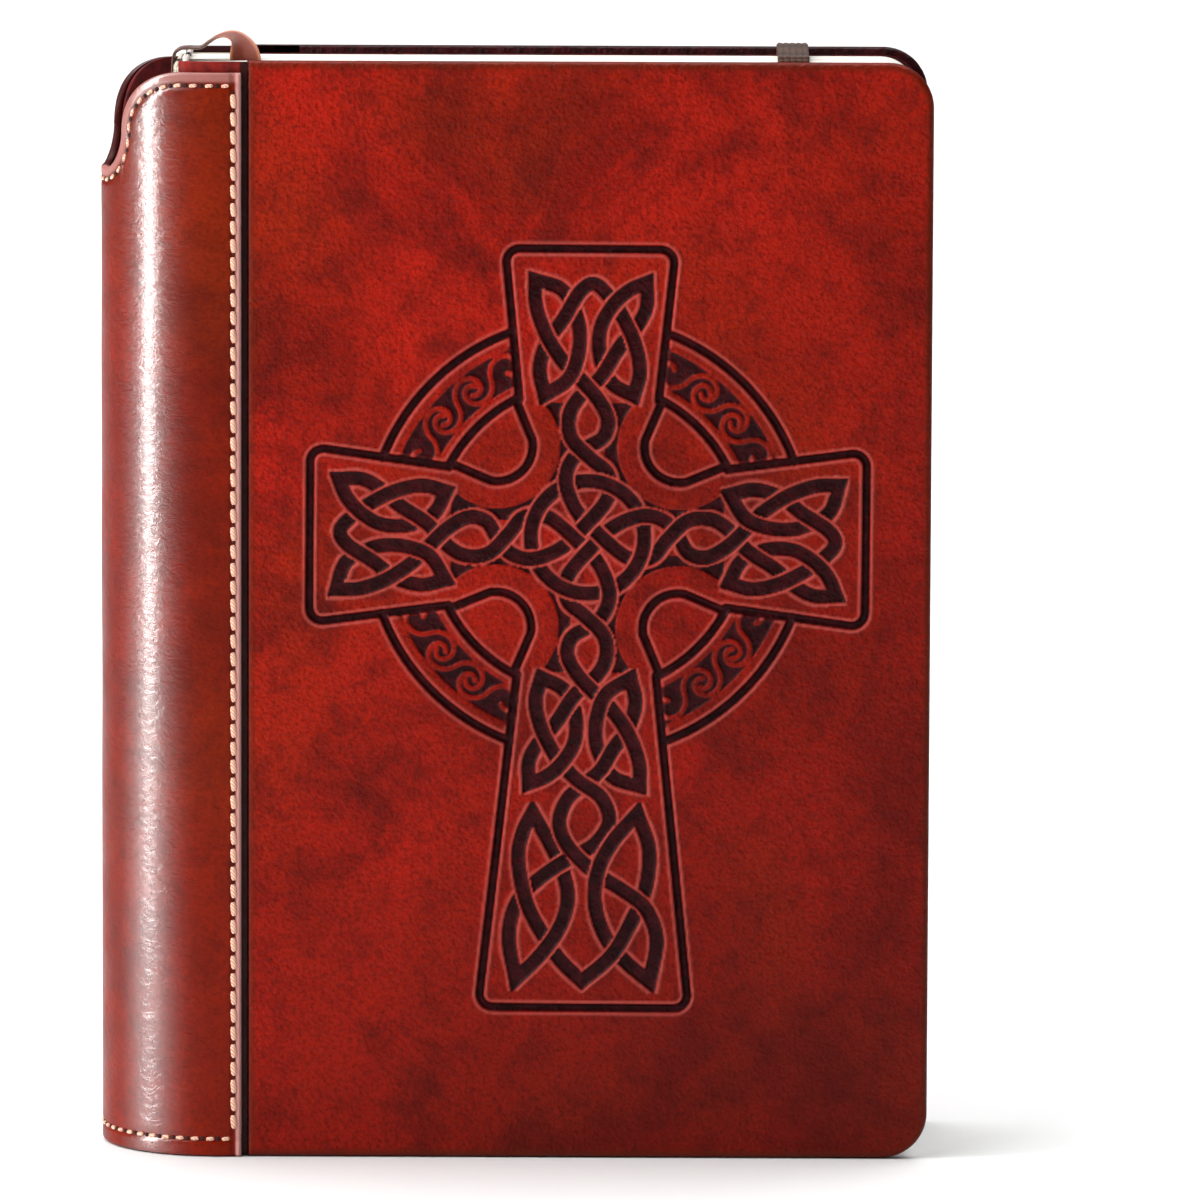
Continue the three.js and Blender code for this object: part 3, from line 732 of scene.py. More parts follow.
def cover_piece(name, side, spacing, stamped):
    """A leather-covered board: outer face, rounded edges, turned-in rim. side is -1 at the front."""
    width = REACH_END - COVER_START
    x = lines_between(0, width, spacing)
    z = lines_between(0, HEAD, spacing)
    gx, gz = round_corner_grid(x, z, width, HEAD)
    to_edge = cover_edge_distance(gx, gz, width, HEAD)
    relief = 0.05 * swell(gx, gz, 5 + side, 40) * ease((to_edge - 2) / 6)
    stain_and_shade = np.zeros(gx.shape)
    painted_lip_highlight = stain_and_shade
    if stamped:
        turn = math.radians(CROSS_TILT)
        cx = x + COVER_START - CROSS_REACH
        cz = z - CROSS_HEIGHT
        pressed, stain_and_shade = relief_grid(cx, cz)
        # the stamp's small tilt, as a shear of its rows and columns
        pressed, stain_and_shade = [tilted(v, cx, cz, turn) for v in (pressed, stain_and_shade)]
        relief = relief + pressed
        # painted highlight: how much the raised lips of the stamp are lightened
        painted_lip_highlight = np.clip(pressed / LIP_HEIGHT, 0, 1)
    # painted shade: the edge beside the wrap's groove is darkened as if in the wrap's shadow
    stain_and_shade = np.maximum(stain_and_shade, ease((0.55 - gx) / 0.4))
    # painted shade: the back cover's outer edge is darkened where it sits in shadow
    if not stamped:
        stain_and_shade = np.maximum(stain_and_shade, ease((1.3 - to_edge) / 0.6))
    y = COVER_FACE - round_drop(to_edge, EDGE_ROUND) + relief
    rows, columns = gx.shape
    points = [np.column_stack([gx.ravel() + COVER_START, y.ravel(), gz.ravel()])]
    faces = grid_faces(rows, columns)
    border = grid_border(rows, columns)
    rim = points[0][border][:, [0, 2]]
    run = unit_rows(np.roll(rim, -1, axis=0) - np.roll(rim, 1, axis=0))
    inwards = np.column_stack([-run[:, 1], run[:, 0]])
    start = rows * columns
    last = border
    stains_and_shade = [stain_and_shade.ravel()]
    wear = [ease((2.6 - to_edge.ravel()) / 2.4)]
    # the turned-in rim's rings, each as its inset and its height over the cover's inside
    for inset, height in ((0.0, 0.9), (0.12, 0.35), (0.5, 0.0), (9.0, 0.0)):
        ring = rim + inwards * inset
        points.append(np.column_stack([ring[:, 0], np.full(len(ring), COVER_BACK + height), ring[:, 1]]))
        loop = list(range(start, start + len(ring)))
        faces += bridge(last, loop)
        last = loop
        start += len(ring)
        # painted shade: the turned-in rims are darkened, the back cover's rim being seen in shadow above the
        # leaves
        stains_and_shade.append(np.full(len(ring), 0.0 if stamped and inset == 0 else 1.0))
        wear.append(np.full(len(ring), 1.0 if inset < 1 else 0.2))
    faces.append(last)
    points = np.vstack(points)
    frame_points = np.column_stack([points[:, 0] + BACK_X, side * points[:, 1], points[:, 2]])
    values = {
        "stain_and_shade": np.concatenate(stains_and_shade),
        "wear": np.concatenate(wear),
        "painted_lip_highlight": np.concatenate([painted_lip_highlight.ravel(), np.zeros(len(points) - rows * columns)]),
    }
    return face_outwards(mesh_piece(name, frame_points, faces, panel_material, values=values))


def tilted(values, x, z, turn):
    """A field over a grid, turned a little about its centre by sampling it askew."""
    gx, gz = np.meshgrid(x, z)
    sx = np.clip(gx * math.cos(turn) + gz * math.sin(turn), x[0], x[-1])
    sz = np.clip(-gx * math.sin(turn) + gz * math.cos(turn), z[0], z[-1])
    i = np.clip(np.searchsorted(x, sx) - 1, 0, len(x) - 2)
    j = np.clip(np.searchsorted(z, sz) - 1, 0, len(z) - 2)
    u = (sx - x[i]) / (x[i + 1] - x[i])
    v = (sz - z[j]) / (z[j + 1] - z[j])
    low = values[j, i] * (1 - u) + values[j, i + 1] * u
    high = values[j + 1, i] * (1 - u) + values[j + 1, i + 1] * u
    return low * (1 - v) + high * v


def build_covers():
    """The stamped front cover, the plain back cover, and the leather that hinges each of them."""
    fine = 0.3
    front = cover_piece("front_cover_stamped", -1, fine, True)
    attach(front, "front_cover")
    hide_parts("front_cover_leather", "front_cover_board")
    back = cover_piece("back_cover_plain", 1, 1.5, False)
    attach(back, "back_cover")
    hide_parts("back_cover_leather", "back_cover_board")
    for side, body in ((-1, "front_cover"), (1, "back_cover")):
        build_hinge(side)


def build_hinge(side):
    """Flexible leather from under the wrap's edge, through the groove, to the inside of the cover."""
    inner = LINING_RADIUS
    thickness = 0.9
    angles = np.linspace(LINING_ANGLE, math.pi / 2, 6)
    bend = [(SPINE_RADIUS - inner * math.cos(a), inner * math.sin(a)) for a in angles]
    flat = [(SPINE_RADIUS + s, inner) for s in np.arange(0.8, COVER_START + 0.6 - SPINE_RADIUS, 0.4)]
    line = np.array(bend + flat)
    run = unit_rows(np.gradient(line, axis=0))
    below = line + thickness * np.column_stack([run[:, 1], -run[:, 0]])
    section = np.vstack([line, below[::-1]])
    z_lines = lines_between(0.0, HEAD - 0.25, 6.0, (0, 0.15, 0.5, 1.2))
    points = [to_frame(section[:, 0], side * section[:, 1], np.full(len(section), z)) for z in z_lines]
    n = len(section)
    faces = loft_faces(len(z_lines), n)
    name = "front_hinge_leather" if side < 0 else "rear_hinge_leather"
    # painted shade: the front hinge is darkened where it lies in the groove by the wrap, and the rear hinge
    # all over
    groove_shade_mask = ease((section[:, 0] - WRAP_REACH + 0.7) / 0.6) if side < 0 else np.ones(n)
    groove_shade_mask = np.tile(groove_shade_mask, len(z_lines))
    piece = mesh_piece(name, np.vstack(points), faces, hinge_material, values={"groove": groove_shade_mask})
    face_outwards(piece)
    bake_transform(piece)
    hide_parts("front_joint_leather" if side < 0 else "rear_joint_leather")


# ---- the leaves ----

def leaf_stack(name, inner_y, outer_y, layers, seed, side):
    """A stack of leaves from its fold to the fore-edge; each layer's edge stands a hair in or out."""
    rng = random.Random(seed)
    corner = LEAF_CORNER * (1 - np.cos(np.linspace(0, math.pi / 2, 12)))
    stations = np.concatenate([
        FOLDS_BACK + np.array([0, 0.5, 1.2, 2.2, 3.5]),
        np.arange(FOLDS_BACK + 5, 52, 1.0),
        np.arange(54, FORE_EDGE - LEAF_CORNER - 2, 5.0),
        (FORE_EDGE - corner)[::-1],
    ])
    n = len(stations)
    points = []
    for k in range(layers + 1):
        y = inner_y + (outer_y - inner_y) * k / layers
        fall = max(0.0, abs(y) - (FOLDS_OUT - FOLDS_ROUND))
        start = FOLDS_ROUND - math.sqrt(max(0.0, FOLDS_ROUND ** 2 - fall ** 2))
        shrink = rng.uniform(0.0, 0.16)
        trim = rng.uniform(0.0, 0.14)
        reach = np.maximum(stations, FOLDS_BACK + start + 0.02 * np.arange(n))
        past = np.clip(reach - (FORE_EDGE - LEAF_CORNER), 0, LEAF_CORNER)
        inset = LEAF_CORNER - np.sqrt(LEAF_CORNER ** 2 - past ** 2)
        reach = np.minimum(reach, FORE_EDGE - shrink * np.clip((reach - 120) / 30, 0, 1))
        tail = LEAF_TAIL + inset + trim
        head = LEAF_HEAD - inset - trim
        ring_x = np.concatenate([reach, reach[::-1]])
        ring_z = np.concatenate([tail, head[::-1]])
        points.append(to_frame(ring_x, np.full(2 * n, side * y), ring_z))
    ring = 2 * n
    faces = loft_faces(layers + 1, ring, ends=False)
    for base in (0, layers * ring):
        for i in range(n - 1):
            faces.append([base + i, base + i + 1, base + ring - 2 - i, base + ring - 1 - i])
    piece = mesh_piece(name, np.vstack(points), faces, paper_material, smooth=False)
    return face_outwards(piece)


def build_leaves():
    """Six groups of leaves at the front, and the rear half that the band holds."""
    count = 6
    depth = (FOLDS_OUT - BLOCK_MIDDLE) / count
    for k in range(count):
        near_cover = FOLDS_OUT - k * depth
        name = "turning_leaves_%d" % (k + 1)
        stack = leaf_stack(name, near_cover - depth + 0.03, near_cover, 18, 20 + k, -1)
        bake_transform(stack)
        replaced = ["front_leaves_%d" % (k + 1)]
        if k == 0:
            replaced += ["front_endpaper", "bound_folds_front"]
        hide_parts(*replaced)
    rear_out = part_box("rear_endpaper")[1].y / MM
    depth = (rear_out - BLOCK_MIDDLE) / 5
    for k in range(5):
        far = rear_out - k * depth
        stack = leaf_stack("rear_stack_%d" % (k + 1), far - depth + 0.02, far, 22, 40 + k, 1)
        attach(stack, "spine")
        replaced = ["rear_leaves_%d" % (k + 1)]
        if k == 0:
            replaced += ["rear_endpaper", "bound_folds_rear"]
        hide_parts(*replaced)


# ---- headbands, ribbon and elastic ----

def build_band(node, name):
    """A headband: a core wound with pale and dark thread."""
    low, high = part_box(node)
    centre = (low + high) / 2
    radius = (high.x - low.x) / 2 / MM
    length = (high.y - low.y) / MM
    windings = int(length / 0.62)
    around = 14
    per_turn = 4
    points = []
    dark = []
    for k in range(windings * per_turn + 1):
        y = -length / 2 + length * k / (windings * per_turn)
        bulge = radius * (1.0 + 0.14 * abs(math.sin(math.pi * k / per_turn)))
        for i in range(around):
            a = 2 * math.pi * i / around
            points.append((centre.x / MM + bulge * math.cos(a),
                           centre.y / MM + y,
                           centre.z / MM + bulge * math.sin(a)))
            dark.append((k // per_turn) % 3 == 2)
    faces = loft_faces(windings * per_turn + 1, around)
    piece = mesh_piece(name, points, faces, headband_material, values={"dark": np.array(dark, float)})
    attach(face_outwards(piece), "spine")
    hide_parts(node)


def ribbon_path():
    """The ribbon marker's route as (reach, z, twist in degrees), from the block's back over the head."""
    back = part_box("spine_mull")[0].x / MM - BACK_X - 0.5
    head = LEAF_HEAD
    return [
        (back, head - 20, 0), (back, head - 8, 0), (back, head + 0.1, 0), (back + 0.9, head + 1.9, 0),
        (back + 2.8, head + 2.3, 0), (back + 5.1, head + 2.3, 0), (back + 6.7, head + 3.3, 0),
        (back + 8.2, head + 4.3, 0), (back + 10, head + 4.8, 5), (back + 11.7, head + 4.4, 18),
        (back + 12.9, head + 2.9, 45), (back + 13.8, head + 0.6, 82), (back + 14.1, head - 1.5, 90),
        (back + 14.6, head - 6, 90), (back + 18, head - 25, 90), (back + 32, head - 90, 90),
        (back + 48, LEAF_TAIL + 60, 90), (back + 60, LEAF_TAIL + 12, 90),
    ]


def build_ribbon():
    """A satin ribbon, thin, slightly cupped across, with a firm woven edge."""
    knots = np.array(ribbon_path(), float)
    dense = smooth_curve(knots, steps=14)
    points = []
    across_steps = np.linspace(-1, 1, 13)
    for i, (reach, z, twist) in enumerate(dense):
        before = dense[max(i - 1, 0)]
        after = dense[min(i + 1, len(dense) - 1)]
        run = np.array([after[0] - before[0], after[1] - before[1]])
        run /= np.hypot(*run)
        a = math.radians(twist)
        # across turns from +Y to lie in the page; out is square to it and to the run
        run3 = np.array([run[0], 0, run[1]])
        side3 = np.array([-run[1], 0, run[0]])
        across = np.array([0, 1.0, 0]) * math.cos(a) + side3 * math.sin(a)
        out = np.cross(run3, across)
        centre = np.array([reach + BACK_X, 0, z])
        fade = min(1.0, math.cos(a) + 0.15)
        ring = []
        for s in across_steps:
            cup = 0.35 * fade * (s * s - 0.4)
            half = 0.11 + 0.05 * (abs(s) > 0.9)
            ring.append((centre + across * s * RIBBON_HALF + out * (cup + half),
                         centre + across * s * RIBBON_HALF + out * (cup - half)))
        points += [p for p, _ in ring] + [q for _, q in ring[::-1]]
    n = 2 * len(across_steps)
    faces = loft_faces(len(dense), n)
    across_value = np.tile(np.concatenate([across_steps, across_steps[::-1]]), len(dense))
    along = np.repeat(np.arange(len(dense)) * 0.5, n)
    # painted shadow: the ribbon is darkened where it rises up the block's back and starts over the head
    painted_ribbon_shade = np.repeat(ease((knots[6, 0] + 3.0 - dense[:, 0]) / 3.0), n)
    piece = mesh_piece("ribbon_satin", np.array(points), faces, ribbon_material,
                       values={"across": across_value, "along": along, "painted_ribbon_shade": painted_ribbon_shade})
    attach(face_outwards(piece), "spine")
    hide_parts("ribbon_marker")


def build_elastic():
    """The woven band round the rear leaves: five soft ribs along a closed loop."""
    low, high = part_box("elastic_band")
    x0 = (low.x + high.x) / 2 / MM
    half = (high.x - low.x) / 2 / MM
    front = low.y / MM + ELASTIC_HALF
    rear = high.y / MM - ELASTIC_HALF
    bottom = low.z / MM + ELASTIC_HALF
    top = LEAF_HEAD + ELASTIC_HALF + 0.3
    rear_top = high.z / MM - ELASTIC_HALF
    corners = [(front, bottom), (front, top), (rear, rear_top), (rear, bottom)]
    path = []
    for k in range(4):
        here = np.array(corners[k])
        into = here - np.array(corners[k - 1])
        out = np.array(corners[(k + 1) % 4]) - here
        into /= np.hypot(*into)
        out /= np.hypot(*out)
        a = here - into * ELASTIC_BEND
        b = here + out * ELASTIC_BEND
        for s in np.linspace(0, 1, 7):
            path.append((1 - s) ** 2 * a + 2 * s * (1 - s) * here + s * s * b)
        # even steps to the next corner
        end = np.array(corners[(k + 1) % 4]) - out * ELASTIC_BEND
        count = int(np.hypot(*(end - b)) / 2.5)
        for s in np.arange(1, count) / count:
            path.append(b * (1 - s) + end * s)
    path = np.array(path)
    run = unit_rows(np.roll(path, -1, axis=0) - np.roll(path, 1, axis=0))
    normal = np.column_stack([-run[:, 1], run[:, 0]])
    across = np.linspace(-1, 1, 41)
    rib = 0.26 + 0.2 * np.abs(np.cos(across * math.pi * 2.5)) ** 0.6
    rib *= np.clip((1.02 - np.abs(across)) / 0.12, 0.25, 1)
    points = []
    for place, out in zip(path, normal):
        for s, thick in ((across, rib), (across[::-1], -rib[::-1])):
            points.append(np.column_stack([x0 + s * half, place + thick[:, None] * out]))
    faces = loft_faces(len(path), 2 * len(across), ends=False, closed=True)
    piece = mesh_piece("elastic_ribbed", np.vstack(points), faces, elastic_material,
                       values={"across": np.tile(np.concatenate([across, across[::-1]]), len(path))})
    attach(face_outwards(piece), "spine")
    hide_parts("elastic_band")


# ---- materials ----

class Shader:
    """A material being built from nodes."""

    def __init__(self, name, **constants):
        self.material = bpy.data.materials.new(name)
        self.material.use_nodes = True
        self.tree = self.material.node_tree
        self.surface = self.tree.nodes["Principled BSDF"]
        for key, value in constants.items():
            self.surface.inputs[key.replace("_", " ")].default_value = value
        self.place = self.node("ShaderNodeTexCoord").outputs["Object"]

    def node(self, kind, settings=None, **inputs):
        made = self.tree.nodes.new(kind)
        for key, value in (settings or {}).items():
            setattr(made, key, value)
        for key, value in inputs.items():
            self.feed(made.inputs[key.replace("_", " ")], value)
        return made

    def feed(self, socket, value):
        if isinstance(value, bpy.types.NodeSocket):
            self.tree.links.new(value, socket)
        else:
            socket.default_value = value

    def noise(self, scale, detail=3.0, roughness=0.55, stretch=None, distortion=0.0):
        at = self.place
        if stretch:
            at = self.node("ShaderNodeMapping", Vector=at, Scale=stretch).outputs["Vector"]
        made = self.node("ShaderNodeTexNoise", Vector=at, Scale=scale, Detail=detail, Roughness=roughness,
                         Distortion=distortion)
        return made.outputs["Fac"]

    def cells(self, scale):
        return self.node("ShaderNodeTexVoronoi", Vector=self.place, Scale=scale).outputs["Distance"]

    def wave(self, direction, scale, distortion):
        made = self.node("ShaderNodeTexWave", {"bands_direction": direction}, Vector=self.place, Scale=scale,
                         Distortion=distortion)
        return made.outputs["Fac"]

    def value(self, name):
        """One of the mesh's named numbers."""
        return self.node("ShaderNodeAttribute", {"attribute_name": name}).outputs["Fac"]

    def ramp(self, value, low, high, to_low=0.0, to_high=1.0):
        made = self.node("ShaderNodeMapRange", {"interpolation_type": "SMOOTHSTEP"}, Value=value)
        for key, number in (("From Min", low), ("From Max", high), ("To Min", to_low), ("To Max", to_high)):
            made.inputs[key].default_value = number
        return made.outputs["Result"]

    def math(self, operation, a, b=0.0):
        made = self.node("ShaderNodeMath", {"operation": operation})
        self.feed(made.inputs[0], a)
        self.feed(made.inputs[1], b)
        return made.outputs[0]

    def times(self, a, b):
        return self.math("MULTIPLY", a, b)

    def mix(self, factor, a, b):
        made = self.node("ShaderNodeMix", {"data_type": "RGBA"})
        self.feed(made.inputs[0], factor)
        for socket, colour in ((made.inputs[6], a), (made.inputs[7], b)):
            self.feed(socket, colour if isinstance(colour, bpy.types.NodeSocket) else (*colour, 1.0))
        return made.outputs[2]

    def finish(self, colour, roughness, heights=()):
        """Link the colour, the roughness and a chain of bumps of (height, distance in metres, strength)."""
        self.feed(self.surface.inputs["Base Color"], colour)
        self.feed(self.surface.inputs["Roughness"], roughness)
        normal = None
        for height, distance, strength in heights:
            bump = self.node("ShaderNodeBump", Strength=strength, Distance=distance, Height=height)
            if normal:
                self.feed(bump.inputs["Normal"], normal)
            normal = bump.outputs["Normal"]
        if normal:
            self.feed(self.surface.inputs["Normal"], normal)
            self.feed(self.surface.inputs["Coat Normal"], normal)
        return self.material


def leather_mottle(shader, base, dark, warm, hot):
    """Hand-dyed leather: broad clouds, smoky dark patches, soft blotches and fine dark specks."""
    broad = shader.ramp(shader.noise(30, 3.0), 0.36, 0.64)
    colour = shader.mix(broad, base, hot)
    cloud = shader.ramp(shader.noise(17, 2.0), 0.48, 0.72)
    colour = shader.mix(shader.times(cloud, 0.60), colour, warm)
    smoke = shader.ramp(shader.noise(26, 6.0, 0.72, distortion=0.5), 0.44, 0.68)
    colour = shader.mix(shader.times(smoke, 0.62), colour, dark)
    blotch = shader.ramp(shader.noise(150, 5.0, 0.68), 0.42, 0.74)
    colour = shader.mix(shader.times(blotch, 0.55), colour, dark)
    fine = shader.ramp(shader.noise(1100, 3.0, 0.65), 0.42, 0.70)
    return shader.mix(shader.times(fine, 0.50), colour, dark)


def painted_falloff_shade(shader, colour, dark):
    """Painted shade: the colour grows darker towards the tail and the fore-edge, standing in for light
    falling off across the cover.
    """
    split = shader.node("ShaderNodeSeparateXYZ", Vector=shader.place)
    towards = shader.math("SUBTRACT", split.outputs["X"], split.outputs["Z"])
    uneven = shader.times(shader.noise(22, 3.0), 0.10)
    return shader.mix(shader.ramp(shader.math("ADD", towards, uneven), -0.14, 0.12, 0.0, 0.62), colour, dark)


def make_panel_material():
    """The covers: mottled red leather with a pebbled grain, stained dark where it is pressed in; painted
    highlight lightens the raised lips, and painted shade darkens the edge by the wrap and the back cover's
    edge and rim.
    """
    s = Shader("panel_leather", Specular_IOR_Level=0.09)
    dark = (0.060, 0.003, 0.002)
    colour = leather_mottle(s, (0.340, 0.011, 0.003), dark, (0.240, 0.018, 0.002), (0.42, 0.012, 0.004))
    # painted shade: darker towards the tail and the fore-edge
    colour = painted_falloff_shade(s, colour, dark)
    worn = s.ramp(s.value("wear"), 0.1, 1.0, 0.0, 0.70)
    colour = s.mix(worn, colour, (0.100, 0.012, 0.003))
    # dark stain where the stamp is pressed in, plus painted shade by the wrap's groove and on the back
    # cover's edge and rim
    stain_and_shade = s.ramp(s.value("stain_and_shade"), 0.12, 0.62, 0.0, 0.96)
    stain_and_shade_colour = s.mix(s.ramp(s.noise(420, 3.0), 0.35, 0.7), (0.010, 0.0012, 0.0020), (0.036, 0.003, 0.005))
    colour = s.mix(stain_and_shade, colour, stain_and_shade_colour)
    rough = s.ramp(s.noise(150, 3.0), 0.3, 0.75, 0.32, 0.46)
    pebbles = s.noise(620, 4.0, 0.6)
    # painted highlight: the raised lips are lightened to a pale pink
    colour = s.mix(s.times(s.value("painted_lip_highlight"), 0.62), colour, (0.55, 0.10, 0.08))
    return s.finish(colour, rough, [(pebbles, 0.00045, 0.8), (s.cells(1250), 0.00018, 0.5)])


def make_spine_material():
    """The wrap: smooth glossy brown leather, pale where its edge is cut and dark inside."""
    s = Shader("spine_leather_gloss", Specular_IOR_Level=0.10, Coat_Roughness=0.23, Coat_IOR=2.4)
    s.feed(s.surface.inputs["Coat Weight"], s.value("polish"))
    dark = (0.085, 0.005, 0.0015)
    colour = leather_mottle(s, (0.190, 0.009, 0.0015), dark, (0.20, 0.018, 0.001), (0.23, 0.011, 0.001))
    colour = s.mix(s.times(s.value("cut"), 0.85), colour, (0.60, 0.30, 0.27))
    colour = s.mix(s.times(s.value("dark"), 0.92), colour, (0.032, 0.003, 0.003))
    rough = s.ramp(s.noise(120, 3.0), 0.3, 0.75, 0.34, 0.44)
    creases = s.noise(700, 4.0, 0.65, stretch=(0.6, 0.6, 1.0), distortion=0.8)
    return s.finish(colour, rough, [(creases, 0.00030, 0.40), (s.noise(1500, 3.0), 0.00006, 0.4)])


def make_lining_material():
    """The flesh side of the wrap and the insides of the covers: dark, matt, fibrous."""
    s = Shader("lining_leather_dark", Specular_IOR_Level=0.15)
    colour = s.mix(s.ramp(s.noise(300, 4.0), 0.35, 0.7), (0.045, 0.003, 0.005), (0.140, 0.008, 0.011))
    rough = s.ramp(s.noise(700, 3.0), 0.3, 0.7, 0.55, 0.75)
    return s.finish(colour, rough, [(s.noise(2400, 4.0), 0.00008, 0.5)])


def make_hinge_material():
    """The flexible joint: the covers' leather, with painted shade darkening it in the groove."""
    s = Shader("hinge_leather", Specular_IOR_Level=0.2)
    colour = s.mix(s.ramp(s.noise(260, 4.0), 0.38, 0.7), (0.26, 0.014, 0.009), (0.075, 0.006, 0.006))
    # painted shade in the groove
    colour = s.mix(s.times(s.value("groove"), 0.95), colour, (0.022, 0.002, 0.002))
    rough = s.ramp(s.noise(500, 3.0), 0.3, 0.7, 0.40, 0.58)
    return s.finish(colour, rough, [(s.cells(1100), 0.00014, 0.4)])


def make_paper_material():
    """Leaves: even off-white pages; at their edges each layer is slightly lighter or darker than the next."""
    s = Shader("paper_leaves", Specular_IOR_Level=0.25)
    facing = s.node("ShaderNodeTexCoord").outputs["Normal"]
    sideways = s.node("ShaderNodeSeparateXYZ", Vector=facing).outputs["Y"]
    page = s.ramp(s.math("ABSOLUTE", sideways), 0.70, 0.95)
    fibres = s.mix(s.ramp(s.noise(420, 4.0), 0.35, 0.65), (0.80, 0.78, 0.73), (0.86, 0.84, 0.79))
    lines = s.noise(1.0, 2.0, 0.5, stretch=(30, 5200, 30))
    broad = s.noise(1.0, 2.0, 0.5, stretch=(14, 900, 14))
    colour = s.mix(s.ramp(lines, 0.30, 0.70), (0.60, 0.56, 0.50), (0.86, 0.84, 0.79))
    colour = s.mix(s.ramp(broad, 0.45, 0.80, 0.0, 0.35), colour, (0.70, 0.66, 0.59))
    colour = s.mix(page, colour, fibres)
    edges = s.times(lines, s.ramp(page, 0.0, 1.0, 1.0, 0.0))
    rough = s.ramp(s.noise(900, 2.0), 0.3, 0.7, 0.78, 0.9)
    return s.finish(colour, rough, [(edges, 0.00006, 0.6), (s.noise(3000, 2.0), 0.00002, 0.3)])


def make_thread_material():
    """Waxed thread, twisted: pale peach with darker twist lines."""
    s = Shader("waxed_thread", Specular_IOR_Level=0.5, Sheen_Weight=0.2, Sheen_Roughness=0.4)
    tint = s.ramp(s.value("number"), 0.0, 1.0, 0.0, 0.25)
    twist = s.wave("DIAGONAL", 900, 1.0)
    colour = s.mix(s.ramp(twist, 0.2, 0.8), (0.68, 0.30, 0.19), (0.95, 0.62, 0.46))
    colour = s.mix(tint, colour, (0.88, 0.48, 0.32))
    return s.finish(colour, s.ramp(s.noise(800), 0.3, 0.7, 0.42, 0.55), [(twist, 0.00010, 0.5)])


def make_hole_shade_material():
    """Painted shade: a dark dot standing in for the shadowed bottom of a needle hole."""
    s = Shader("needle_hole_shade", Specular_IOR_Level=0.3)
    colour = s.mix(s.ramp(s.noise(1500), 0.35, 0.7), (0.012, 0.003, 0.003), (0.035, 0.007, 0.006))
    return s.finish(colour, s.ramp(s.noise(900), 0.3, 0.7, 0.6, 0.8), [(s.noise(2500), 0.00003, 0.4)])


def make_ribbon_material():
    """Satin: fine warp lines across a warm red-brown, lighter towards its woven edges."""
    s = Shader("satin_ribbon", Specular_IOR_Level=0.5, Sheen_Weight=0.5, Sheen_Roughness=0.3, Anisotropic=0.4)
    edge = s.ramp(s.math("ABSOLUTE", s.value("across")), 0.72, 0.95)
    warp = s.math("SINE", s.times(s.value("across"), 95.0))
    weft = s.math("SINE", s.times(s.value("along"), 30.0))
    weave = s.math("ADD", s.times(warp, 0.65), s.times(weft, 0.35))
    colour = s.mix(s.ramp(weave, -1.0, 1.0), (0.17, 0.020, 0.008), (0.36, 0.055, 0.022))
    colour = s.mix(edge, colour, (0.66, 0.24, 0.12))
    colour = s.mix(s.ramp(s.noise(200), 0.45, 0.8, 0.0, 0.4), colour, (0.20, 0.02, 0.01))
    # painted shadow on the ribbon's rising stretch
    colour = s.mix(s.times(s.value("painted_ribbon_shade"), 0.85), colour, (0.035, 0.008, 0.006))
    return s.finish(colour, s.ramp(s.noise(300), 0.3, 0.7, 0.30, 0.42), [(weave, 0.00004, 0.6)])


def make_elastic_material():
    """Brown elastic: a herringbone of thread over the ribs."""
    s = Shader("elastic_weave", Specular_IOR_Level=0.25, Sheen_Weight=0.08, Sheen_Roughness=0.5)
    weave = s.times(s.wave("Z", 420, 1.4), s.wave("Y", 420, 1.4))
    rib = s.math("ABSOLUTE", s.math("COSINE", s.times(s.value("across"), 7.854)))
    colour = s.mix(s.ramp(weave, 0.05, 0.7), (0.034, 0.013, 0.008), (0.115, 0.050, 0.030))
    # painted shade in the valleys between the ribs
    colour = s.mix(s.ramp(rib, 0.0, 0.5, 0.55, 0.0), colour, (0.035, 0.016, 0.011))
    return s.finish(colour, s.ramp(s.noise(700), 0.3, 0.7, 0.62, 0.8), [(weave, 0.00014, 0.8)])


def make_headband_material():
    """Silk windings of a headband, two pale turns to one dark."""
    s = Shader("headband_silk", Specular_IOR_Level=0.45, Sheen_Weight=0.25, Sheen_Roughness=0.4)
    threads = s.wave("Y", 1500, 0.6)
    pale = s.mix(threads, (0.66, 0.60, 0.52), (0.90, 0.86, 0.80))
    colour = s.mix(s.value("dark"), pale, (0.10, 0.03, 0.03))
    return s.finish(colour, s.ramp(s.noise(900), 0.3, 0.7, 0.45, 0.6), [(threads, 0.00008, 0.5)])


def make_cloth_material():
    """Mull: open, stiff, off-white weave."""
    s = Shader("mull_cloth", Specular_IOR_Level=0.3, Sheen_Weight=0.15, Sheen_Roughness=0.5)
    weave = s.math("MAXIMUM", s.wave("Z", 380, 0.5), s.wave("Y", 380, 0.5))
    colour = s.mix(s.ramp(weave, 0.35, 0.95), (0.36, 0.31, 0.24), (0.74, 0.68, 0.57))
    return s.finish(colour, s.ramp(s.noise(700), 0.3, 0.7, 0.8, 0.92), [(weave, 0.00018, 0.8)])


def dress_cad_nodes():
    """Better materials for the model's own nodes that stay."""
    chosen = {
        "front_cover_lining": lining_material,
        "back_cover_lining": lining_material,
        "pen_channel_stop": lining_material,
        "spine_mull": cloth_material,
    }
    for node, material in chosen.items():
        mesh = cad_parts[node].data
        mesh.materials.clear()
        mesh.materials.append(material)


# ---- camera, floor and light ----

